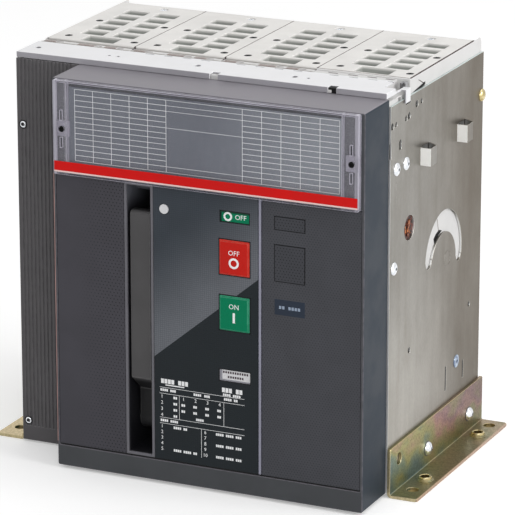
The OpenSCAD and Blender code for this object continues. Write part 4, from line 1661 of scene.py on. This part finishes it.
@dataclass(frozen=True)
class ArcChambers(Unit):
    """The four vented chamber lids, their screws and the boards in front of them."""

    poles: int = 4
    lid_screws: Pairs = ((-29.5, 14.5), (37.5, 14.5), (-29.5, 77.0), (37.5, 77.0))
    boss_screw: Pair = (6.0, 11.0)
    rear_screws: Pairs = ((-34.0, 52.0), (34.0, 52.0), (-34.0, 318.0), (34.0, 318.0))
    rear_face: float = 205.0
    seam_half: float = 0.45
    board_foot: float = 372.0
    board_top: float = 373.35
    board_depths: Pair = (42.6, 45.6)
    board_thick: float = 1.5
    ledge: Pair = (40.2, 47.8)
    pads: Pairs = ((-20.0, 11.0), (13.0, 5.0), (36.0, 6.0))
    pad_depths: Pair = (42.0, 47.3)
    pad_slots: tuple[float, ...] = (109.4, 128.3, 146.8, 164.2)

    def build(self) -> None:
        """Makes the lids', housings' and terminals' finish, the boards and the screws."""
        names = ("boards", "pads", "slots", "seams", "lines")
        forms = {name: Form() for name in names}
        lid_screws, boss_screws, rear_screws = [], [], []
        for pole in range(1, self.poles + 1):
            for node, edge in (("arc_chamber", 0.4), ("pole_housing", 0.4),
                               ("upper_terminal", 0.6), ("lower_terminal", 0.6)):
                self.shop.eased(f"{node}_{pole}", edge)
            lid = Extent.of(f"arc_chamber_{pole}")
            middle = Extent.of(f"pole_housing_{pole}").middle.x
            lid_screws += [Facing.TOP.at((middle + x, lid.low.y + y, lid.high.z - 1.0), 15 * pole)
                           for x, y in self.lid_screws]
            x, y = self.boss_screw
            boss_screws.append(Facing.TOP.at((middle + x, lid.high.y - y, lid.high.z - 1.2), 45))
            rear_screws += [Facing.REAR.at((middle + x, self.rear_face, z), 20 * pole)
                            for x, z in self.rear_screws]
            self._seams(forms, lid, pole == self.poles)
            if pole < self.poles:
                self._boards(forms, middle)
                side = lid.high.x + 0.25
                forms["slots"].block((side - 0.3, 46.9, self.board_foot),
                                     (side + 0.5, 48.2, self.board_top + 0.1))
        for x in self.pad_slots:
            forms["slots"].block((x - 5.0, 43.2, self.board_top + 0.1),
                                 (x + 4.0, 44.6, self.board_top + 0.25))
        self.shop.put("front_boards", forms["boards"], "brown_board")
        self.shop.put("front_pads", forms["pads"], "white_moulding", "white_moulding")
        # Dark marks in the pads' slots and at the lids' seams: painted shade.
        self.shop.put("pad_slots", forms["slots"], "dark_mark")
        self.shop.put("lid_seams", forms["seams"], "seam_shadow")
        self.shop.put("lid_edge_lines", forms["lines"], "soft_shadow")
        for name, screw, places, finish in (
                ("rear_screws", Screw(4.2, 1.8, Recess.CROSS, 2.6, 5.6), rear_screws,
                 "plain_steel"),
                ("lid_screws", Screw(3.55, 0.9, Recess.STAR, 1.2), lid_screws, "black_steel"),
                ("lid_rear_screws", Screw(3.4, 1.0, Recess.CROSS, 2.2), boss_screws,
                 "bright_steel")):
            self.shop.repeat(name, screw.form(), places, finish)

    def _seams(self, forms: dict[str, Form], lid: Extent, last: bool) -> None:
        """Lays painted shade in the seam beside a lid and a painted shadow line along its front
        edge.

        Args:
            forms: What they are added to.
            lid: The lid's box.
            last: Whether it is the lid at the right end, whose front edge isn't covered.
        """
        side, top = lid.high.x + (0.3 if last else 0.25), lid.high.z
        forms["seams"].block((side - self.seam_half, lid.low.y + 0.2, top - 2),
                             (side + self.seam_half, lid.high.y - 0.2, top - 0.12))
        rise = top - (0.2 if last else 1.85)
        forms["lines"].block((lid.low.x + 0.6, lid.low.y - 0.55, rise - 1),
                             (lid.high.x - 0.6, lid.low.y + 0.1, rise))

    def _boards(self, forms: dict[str, Form], middle: float) -> None:
        """Lays the ledge, the boards and the pads in front of a lid.

        Args:
            forms: What they are added to.
            middle: X of the pole's middle.
        """
        (front, back), foot, top = self.ledge, self.board_foot, self.board_top
        forms["pads"].block((middle - 44.6, front, foot - 2), (middle + 44.4, back, top - 0.15),
                            edge=0.15)
        # A painted shadow line along the ledge's front.
        forms["lines"].block((middle - 44.9, front - 0.1, foot),
                             (middle + 44.9, front + 1.0, top + 0.15))
        for depth in self.board_depths:
            forms["boards"].block((middle - 43, depth, foot),
                                  (middle + 42, depth + self.board_thick, top))
        front, back = self.pad_depths
        for x, half in self.pads:
            left, right = middle + x - half, middle + x + half
            forms["pads"].block((left, front, foot), (right, back, top + 0.12), edge=0.1)
            forms["slots"].block((left + 0.6, 44.2, top - 0.05), (left + 7.0, 45.4, top + 0.17))


@dataclass(frozen=True)
class TopBeam(Unit):
    """The white cross beam in front of the chambers, and the case's mouldings."""

    screws: Triple = (-172.0, -11.5, 83.0)
    screw_radius: float = 2.6
    pins: Triple = (-100.0, -91.0, 96.0)
    pin_radius: float = 1.3
    hole_depth: float = 18.0
    notch: Pair = (124.15, 131.85)
    catch_width: float = 3.2
    wedge: Pairs = (
        (52.2, 361.1), (64.0, 362.6), (76.0, 363.8), (82.8, 365.0), (82.8, 362.2), (75.0, 361.1))
    wedge_line: Pairs = ((66.6, 369.6), (67.4, 369.9), (79.5, 364.3), (78.6, 363.8))
    braid: Pairs = ((0, -0.4), (11.3, -0.4), (11.3, 0.4), (8, 0.1), (0, 0))
    contact_out: float = 3.4

    def build(self) -> None:
        """Makes the beam's finish, the screws in its holes and the shadows in its openings."""
        self.shop.eased("top_beam", 0.25)
        self.shop.eased("beam_clip", 0.3, finish="clip_plastic")
        self.shop.eased("mechanism_housing", 0.5)
        self.shop.eased("bottom_ties", 0.3)
        self.shop.coat("earth_contact", "bare_copper")
        beam = Extent.of("top_beam")
        for name, holes, radius in (("beam_screws", self.screws, self.screw_radius),
                                    ("beam_pins", self.pins, self.pin_radius)):
            head = Form().turned(((0, 0), (radius, 0), (radius, 0.5), (0.8 * radius, 0.8),
                                  (0.4 * radius, 0.8), (0.4 * radius, 0.3), (0, 0.3)), steps=20)
            places = [Facing.TOP.at((x, self.hole_depth, beam.high.z - 1.5)) for x in holes]
            self.shop.repeat(name, head, places, "dark_steel")
        start, end = self.notch
        housing = Facing.RIGHT.at((Extent.of("pole_housing_4").high.x, 0, 0))
        shade = Form().block((start, beam.low.y + 0.9, 368.2), (end, 6.9, beam.high.z - 0.7))
        self.shop.put("beam_shadows", shade.slab(self.wedge, 0.06, housing), "black_plastic")
        catch = Form().block((start, beam.low.y + 0.1, 368.4),
                             (start + self.catch_width, beam.low.y + 1.2, 371.0), edge=0.2)
        self.shop.put("beam_catch", catch, "white_moulding", "white_moulding")
        self.shop.put("housing_groove", Form().slab(self.wedge_line, 0.06, housing), "seam_shadow")
        self._contact()

    def _contact(self) -> None:
        """Puts the braid and the lug on the earth contact."""
        box = Extent.of("earth_contact")
        spot = (box.high.x + self.contact_out, box.middle.y, box.middle.z)
        braid = Form().turned(self.braid, Facing.RIGHT.at(spot), 40)
        self.shop.put("earth_braid", braid, "bare_copper")
        lug = Form()
        for low, high, turn, edge in (((-1.9, -8.0, 0), (0.7, 5.5, 1.2), -6, 0.5),
                                      ((2.4, -6.0, 0), (4.2, 6.5, 0.8), 4, 0.4),
                                      ((-6.2, -3.0, 0), (-4.4, 4.0, 0.6), 8, 0.3)):
            lug.block(low, high, Facing.RIGHT.at(spot, turn), edge, 2)
        self.shop.put("earth_lug", lug, "bright_copper")


@dataclass(frozen=True)
class FrontFrame(Unit):
    """The moulded front with its panels, windows and knock-outs."""

    gaps: tuple[tuple[str, float, float], ...] = (
        ("small_knockout", 0.35, 0.45), ("large_knockout", 0.35, 0.45),
        ("position_window", 0.6, 0.6), ("spring_window", 0.5, 0.5),
        ("off_button", 0.9, 0.9), ("on_button", 0.9, 0.9))
    label_across: Pair = (96.5, 125.5)
    label_levels: Pair = (176.6, 190.8)
    label_marks: tuple[int, ...] = (0, 1, 3, 4, 5, 6)
    mark_pitch: float = 3.0
    groove_height: float = 1.38
    left_edge: Pair = (26.0, 280.0)

    def build(self) -> None:
        """Makes the frame, the panels and their trim."""
        for node, edge, steps, finish in (
                ("front_frame", 0.9, 2, None), ("panel_strip", 0.3, 1, "strip_plastic"),
                ("lever_pocket", 0.4, 1, "pocket_plastic"),
                ("left_panel", 0.35, 1, "left_panel_plastic"),
                ("centre_panel", 0.35, 1, "centre_panel_plastic"),
                ("right_panel", 0.25, 1, "right_panel_plastic"),
                ("small_knockout", 0.2, 1, "knockout_plastic"),
                ("large_knockout", 0.2, 1, "knockout_plastic"), ("position_window", 0.25, 1, None),
                ("spring_window", 0.25, 1, None), ("seal_disc", 0.25, 1, None)):
            self.shop.eased(node, edge, steps, finish=finish)
        case, left, right = map(Extent.of, ("front_frame", "left_panel", "right_panel"))
        self._gap_shades(right.low.y)
        self._label(right.low.y)
        # A black strip down in the groove under the panels: painted shade.
        groove = Form().block((left.low.x, left.low.y + 0.35, left.low.z - self.groove_height),
                              (right.high.x, left.low.y + 1.2, left.low.z - 0.02))
        self.shop.put("apron_groove", groove, "black_plastic")
        # A painted highlight along the frame's left front edge.
        low, high = self.left_edge
        glint = Form().block((case.low.x - 0.08, case.low.y - 0.08, low),
                             (case.low.x + 0.75, case.low.y + 0.5, high), edge=0.1)
        self.shop.put("frame_left_edge", glint, "warm_edge")

    def _gap_shades(self, face: float) -> None:
        """Lays thin dark strips in the gaps round knock-outs, windows and buttons: painted shade.

        Args:
            face: How deep the panels' faces lie.
        """
        form = Form()
        for node, gap, thick in self.gaps:
            box = Extent.of(node)
            left, right = box.low.x - gap, box.high.x + gap
            low, high = box.low.z - gap, box.high.z + gap
            for start, end in (((left - 0.1, low), (left + thick, high)),
                               ((right - thick, low), (right + 0.1, high)),
                               ((left, high - thick), (right, high + 0.1)),
                               ((left, low - 0.1), (right, low + thick))):
                form.block((start[0], face - 0.05, start[1]), (end[0], face + 0.3, end[1]))
        self.shop.put("gap_lines", form, "black_plastic")

    def _label(self, face: float) -> None:
        """Lays the plain label on the right panel.

        Args:
            face: How deep the panel's face lies.
        """
        (left, right), (low, high) = self.label_across, self.label_levels
        middle = (low + high) / 2
        form = Form().block((left, face - 0.3, low), (right, face + 0.2, high), edge=0.2)
        self.shop.put("panel_label", form, "label_plastic")
        places = [Facing.FRONT.at((left + 5.5 + self.mark_pitch * k, face - 0.25, middle))
                  for k in self.label_marks]
        mark = Form().block((-1.1, -1.4, 0), (1.1, 1.4, 0.12))
        self.shop.repeat("panel_label_marks", mark, places, "soft_mark")


@dataclass(frozen=True)
class RatingField(Unit):
    """The ruled table of plain marks and numbers low on the centre panel."""

    left: float = -16.5
    right: float = 67.2
    face: float = -53.5
    rise: float = 0.1
    rules: tuple[float, ...] = (93.0, 87.2, 64.4, 58.9)
    uprights: Triples = ((3.0, 64.6, 87.2), (47.0, 64.4, 87.2), (24.8, 31.6, 58.9))
    rule_half: float = 0.16
    bar: tuple[float, float, float, float] = (-10.6, 8.0, 95.0, 96.0)
    upper: Pair = (84.3, 5.8)
    upper_rows: int = 4
    lower: Pair = (56.0, 5.4)
    lower_rows: int = 5
    pitch: float = 1.95
    heading_pitch: float = 3.4
    headings: Pairs = ((-15.3, 12.0), (45.0, 65.6))
    heading_level: float = 99.0
    notes: Triples = (
        (-15.9, 1.5, 90.6), (17, 25, 90.4), (27.5, 33.5, 90.4), (47, 62, 90.4), (46, 65, 94.6),
        (19.4, 28.3, 66.9), (-15.9, 2.5, 61.7))
    cells: tuple[float, ...] = (4.9, 16.6, 28.5, 40.4)
    cell_width: float = 4.6
    list_rows: Triples = ((-3, 12.5, 0), (-3, 21.7, 4), (39, 64.5, 0), (39, 64.5, 2),
                          (39, 64.5, 4))
    number_size: float = 4.6

    def build(self) -> None:
        """Makes the rules, the numbers and the marks."""
        rules, half = Form(), self.rule_half
        for left, right, low, high in (
                *((self.left, self.right, level - half, level + half) for level in self.rules),
                *((x - half, x + half, low, high) for x, low, high in self.uprights), self.bar):
            rules.block((left, self.face - self.rise, low), (right, self.face + self.rise, high))
        self.shop.put("rating_rules", rules, "pale_mark")
        self._numbers()
        top, step = self.upper
        rows = [*self.notes, *((-3.0, 2.0, top - k * step) for k in range(self.upper_rows)),
                *((x, x + self.cell_width, top - k * step) for k in (1, 2) for x in self.cells)]
        top, step = self.lower
        rows += [(start, end, top - k * step) for start, end, k in self.list_rows]
        small = [place for row in rows for place in self._row(*row)]
        bold = [place for row in self.headings for place in self._heading(*row)]
        for name, x, z, places in (("rating_marks", 0.78, 1.15, small),
                                   ("rating_headings", 1.4, 2.1, bold)):
            mark = Form().block((-x, -z, -self.rise), (x, z, self.rise))
            self.shop.repeat(name, mark, places, "pale_mark")

    def _row(self, start: float, end: float, level: float) -> list[Matrix]:
        """Gives the places of a row of marks, with a gap after every fourth.

        Args:
            start: X of the row's start.
            end: X of its end.
            level: Its height.

        Returns:
            The places.
        """
        count = max(1, int((end - start) / self.pitch))
        return [Facing.FRONT.at((start + (k + 0.5) * self.pitch, self.face, level))
                for k in range(count) if k % 5 != 4]

    def _heading(self, start: float, end: float) -> list[Matrix]:
        """Gives the places of a heading's two words.

        Args:
            start: X of the heading's start.
            end: X of its end.

        Returns:
            The places.
        """
        count = int((end - start) / self.heading_pitch)
        return [Facing.FRONT.at((start + (k + 0.5) * self.heading_pitch, self.face,
                                 self.heading_level)) for k in range(count) if k != count // 2]

    def _numbers(self) -> None:
        """Numbers the table's rows and columns."""
        top, step = self.upper
        spots = [spot for k in range(self.upper_rows)
                 for spot in ((k + 1, -14.2, top - k * step), (k + 1, 7.2 + 11.9 * k, top))]
        top, step = self.lower
        spots += [(first + k, x, top - k * step) for k in range(self.lower_rows)
                  for first, x in ((1, -14.2), (6, 28.6))]
        form = Form()
        for number, x, level in spots:
            form.letters(str(number), self.number_size,
                         Facing.FRONT.at((x, self.face - 0.05, level)))
        self.shop.put("rating_numbers", form, "pale_mark")


@dataclass(frozen=True)
class Windows(Unit):
    """The marks in the position window and in the spring window, and the painted shade on their
    rims.
    """

    ring: Triple = (51.1, 4.1, 2.4)
    word: Pair = (12.4, 6.4)
    spring_rows: tuple[tuple[float, float, int], ...] = ((2.4, 46.8, 11), (6.6, 51.5, 7))
    mark_pitch: float = 2.3

    def build(self) -> None:
        """Makes the ring and word of one and the dark marks of the other."""
        box = Extent.of("position_window")
        (x, outer, inner), (across, size) = self.ring, self.word
        face, level = box.low.y + 0.05, box.middle.z
        mark = Form().ring(outer, inner, 0.2, Facing.FRONT.at((x, face, level)))
        mark.letters("OFF", size, Facing.FRONT.at((x + across, face, level)))
        self.shop.put("position_marks", mark, "pale_mark", "white_plastic")
        self._rim(box, "position_window", "green_shade", 1.3, (box.high.z - 1.5, box.high.z))
        box = Extent.of("spring_window")
        places = [Facing.FRONT.at((start + self.mark_pitch * k, box.low.y, box.high.z - down))
                  for down, start, count in self.spring_rows for k in range(count)]
        mark = Form().block((-0.75, -1.0, -0.1), (0.75, 1.0, 0.1))
        self.shop.repeat("spring_marks", mark, places, "dark_mark")
        self._rim(box, "spring_window", "window_rim", 2.6, (box.low.z, box.low.z + 1.5))

    def _rim(self, box: Extent, node: str, finish: str, wide: float, levels: Pair) -> None:
        """Lays painted shade on a window's left side and on one of its level sides.

        Args:
            box: The window's box.
            node: Its name.
            finish: The rim's finish.
            wide: The left side's width.
            levels: The level side's lower and upper edge.
        """
        (low, high), front, back = levels, box.low.y - 0.06, box.low.y + 0.2
        form = Form().block((box.low.x, front, box.low.z), (box.low.x + wide, back, box.high.z))
        form.block((box.low.x + wide, front, low), (box.high.x, back, high))
        self.shop.put(f"{node}_rim", form, finish)


@dataclass(frozen=True)
class Buttons(Unit):
    """The two push buttons with their symbols."""

    ring: Pair = (4.9, 3.0)
    ring_down: float = 4.5
    bar: Pair = (1.05, 4.7)
    bar_down: float = 3.4
    words: tuple[tuple[str, float], ...] = (("OFF", 4.6), ("ON", 6.6))
    word_size: float = 6.4

    def build(self) -> None:
        """Makes the buttons and their marks."""
        self.shop.eased("off_button", 0.4, 2, OFF_PUSH)
        self.shop.eased("on_button", 0.4, 2, ON_PUSH)
        face = Extent.of("off_button").low.y + 0.08
        for node, body, (word, up) in zip(("off_button", "on_button"), (OFF_PUSH, ON_PUSH),
                                          self.words):
            middle, form = Extent.of(node).middle, Form()
            x, z = middle.x, middle.z
            if body == OFF_PUSH:
                form.ring(*self.ring, 0.25, Facing.FRONT.at((x, face, z - self.ring_down)))
            else:
                half, tall = self.bar
                form.block((-half, -tall, 0), (half, tall, 0.25),
                           Facing.FRONT.at((x, face, z - self.bar_down)))
            form.letters(word, self.word_size, Facing.FRONT.at((x, face, z + up)))
            self.shop.put(f"{node}_marks", form, "pale_mark", "white_plastic", body)


@dataclass(frozen=True)
class LeverUnit(Unit):
    """The charging lever on its hinge pin."""

    def build(self) -> None:
        """Makes the lever and its pin."""
        self.shop.eased("charging_lever", 0.9, 2, LEVER)
        self.shop.coat("lever_pin", "zinc_sheet")


@dataclass(frozen=True)
class CoverUnit(Unit):
    """The clear cover over the ruled diagram plate, with its stripe and screws."""

    boss_height: float = 42.0
    boss_half: Pair = (6.3, 7.2)
    boss_insets: Pair = (8.6, 7.1)
    table_edges: tuple[float, ...] = (-97.4, -7.6, 66.1, 158.3)
    table_levels: Pair = (294.2, 359.7)
    columns: int = 5
    rows: int = 13
    centre_rules: tuple[int, ...] = (0, 1, 2, 5, 12, 13)
    rule_half: float = 0.17
    lip_height: float = 1.5

    def build(self) -> None:
        """Makes the cover, the plate's tables, the stripe and the screws."""
        self.shop.eased("clear_cover", 0.5, 2)
        self.shop.eased("diagram_plate", 0.3)
        self.shop.eased("cover_stripe", 0.2, finish="red_stripe")
        self._tables()
        cover, stripe = Extent.of("clear_cover"), Extent.of("cover_stripe")
        height, (left, right) = cover.low.z + self.boss_height, self.boss_insets
        half, tall = self.boss_half
        bosses, screws = Form(), []
        for x in (cover.low.x + left, cover.high.x - right):
            bosses.block((x - half, cover.low.y + 2.05, height - tall),
                         (x + half, cover.high.y - 0.2, height + tall), edge=0.6, steps=2)
            screws.append(Facing.FRONT.at((x, cover.low.y + 1.5, height)))
        self.shop.put("cover_bosses", bosses, "milky_plastic")
        lip = Form().block((stripe.low.x, stripe.low.y + 0.1, stripe.low.z - self.lip_height),
                           (stripe.high.x, cover.low.y + 0.3, stripe.low.z - 0.02), edge=0.15)
        self.shop.put("stripe_edge", lip, "pink_edge")
        head = Screw(2.7, 1.9, Recess.SLOT, 2.0).form()
        self.shop.repeat("cover_screws", head, screws, "black_steel")

    def _tables(self) -> None:
        """Rules the diagram plate."""
        face = Extent.of("diagram_plate").low.y
        low, high = self.table_levels
        start, inner, outer, end = self.table_edges
        for side, left, right in (("left", start, inner), ("right", outer, end)):
            table = self.shop.tables.draw(f"diagram_{side}_table", Vector((left, face, low)),
                                          (right - left, high - low), (self.columns, self.rows),
                                          self.shop.paint["pale_mark"])
            self.shop.place(table, slot="white_plastic")
        form = Form()
        for row in self.centre_rules:
            level = high - row * (high - low) / self.rows
            form.block((inner + 0.2, face - 0.1, level - self.rule_half),
                       (outer - 0.2, face + 0.1, level + self.rule_half))
        self.shop.put("diagram_centre_rules", form, "pale_mark", "white_plastic")


@dataclass(frozen=True)
class RibbedCover(Unit):
    """The narrow ribbed cover on the left of the front, with its two screws."""

    screw_x: float = -177.0
    screw_heights: Pair = (306.0, 21.2)
    well: Pairs = ((0, -0.3), (4.1, -0.3), (4.1, 0.12), (3.3, 0.12), (3.1, -0.1), (0, -0.1))
    ring: Pairs = ((1.7, -0.2), (3.0, -0.2), (3.0, 0.2), (2.6, 0.55), (2.0, 0.55),
                   (1.7, 0.2), (1.7, -0.2))

    def build(self) -> None:
        """Makes the cover and its screws."""
        self.shop.eased("ribbed_cover", 0.3)
        face = Extent.of("ribbed_cover").low.y
        places = [Facing.FRONT.at((self.screw_x, face, z)) for z in self.screw_heights]
        self.shop.repeat("ribbed_cover_wells", Form().turned(self.well), places, "black_plastic")
        self.shop.repeat("ribbed_cover_screws", Form().turned(self.ring), places, "bright_steel")


# ---- studio


@dataclass(frozen=True)
class Lamp:
    """A soft square lamp that looks at the object."""

    name: str
    place: Triple
    size: float
    power: float

    def build(self, aim: Vector) -> None:
        """Hangs the lamp and turns it to its aim.

        Args:
            aim: The point that it looks at.
        """
        data = bpy.data.lights.new(self.name, "AREA")
        data.size, data.energy = self.size, self.power
        lamp = show(self.name, data)
        lamp.location = self.place
        lamp.rotation_euler = (aim - Vector(self.place)).to_track_quat("-Z", "Y").to_euler()


@dataclass(frozen=True)
class Studio:
    """Camera, pale floor, white surroundings and soft lamps."""

    lens: float = 266.06
    sensor: float = 36.0
    clip: Pair = (0.1, 60.0)
    eye: Triple = (1.4101, -3.0608, 1.2124)
    tilt: float = 72.794
    swing: float = 24.697
    ambient: float = 0.6
    floor_half: float = 12.0
    floor_thick: float = 0.02
    floor_seen: Colour = (0.86, 0.86, 0.86)
    floor_bounce: Colour = (0.5, 0.5, 0.5)
    floor_glow: float = 0.3
    lamps: tuple[Lamp, ...] = (
        Lamp("overhead", (0.3, 0.6, 3.2), 2.4, 16.0),
        Lamp("side", (3.2, -0.3, 1.6), 2.0, 58.0),
        Lamp("fill", (1.3, -3.0, 1.5), 1.6, 25.0))

    def build(self) -> None:
        """Sets up everything round the object."""
        bpy.context.scene.view_settings.view_transform = "Standard"
        self._camera()
        self._world()
        self._floor()
        low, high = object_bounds()
        for lamp in self.lamps:
            lamp.build((low + high) / 2)

    def _camera(self) -> None:
        """Places the camera."""
        data = bpy.data.cameras.new("camera")
        data.lens, data.sensor_width = self.lens, self.sensor
        data.clip_start, data.clip_end = self.clip
        camera = show("camera", data)
        camera.location = self.eye
        camera.rotation_euler = (math.radians(self.tilt), 0, math.radians(self.swing))
        bpy.context.scene.camera = camera

    def _world(self) -> None:
        """Makes the surroundings: white where they are seen, softer as a light."""
        world = bpy.data.worlds.new("surroundings")
        world.use_nodes = True
        bpy.context.scene.world = world
        wires = Wires(world.node_tree)
        background = world.node_tree.nodes["Background"].inputs
        strength = wires.spread(self._seen(wires), 0.0, 1.0, self.ambient, 1.0)
        wires.feed(background["Strength"], strength)
        wires.feed(background["Color"], WHITE)

    @staticmethod
    def _seen(wires: Wires) -> Socket:
        """Tells where something is seen directly, mirrored or through glass.

        Args:
            wires: The nodes of a material or of the world.

        Returns:
            1 there and 0 elsewhere.
        """
        ray = wires.add("ShaderNodeLightPath").outputs
        seen = wires.math("MAXIMUM", ray["Is Camera Ray"], ray["Is Glossy Ray"])
        return wires.math("MAXIMUM", seen, ray["Is Transmission Ray"])

    def _floor(self) -> None:
        """Lays the floor."""
        half, thick = self.floor_half / MM, self.floor_thick / MM
        coat = Coat("studio_floor")
        seen = self._seen(coat)
        coat.dress(Base_Color=coat.blend(seen, self.floor_bounce, self.floor_seen),
                   Roughness=0.9, Specular_IOR_Level=0.0, Emission_Color=WHITE,
                   Emission_Strength=coat.times(seen, self.floor_glow))
        form, material = Form().block((-half, -half, -thick), (half, half, 0)), coat.material
        form.object("studio_floor", material)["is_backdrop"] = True


# ---- main


def main() -> None:
    """Builds the scene."""
    logging.basicConfig(level=logging.INFO, format="%(name)s: %(message)s")
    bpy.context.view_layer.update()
    shop = Workshop()
    for unit in (SideSheets, ArcChambers, TopBeam, FrontFrame, RatingField, Windows, Buttons,
                 LeverUnit, CoverUnit, RibbedCover):
        unit(shop).build()
    Studio().build()


if __name__ == "__main__":
    main()
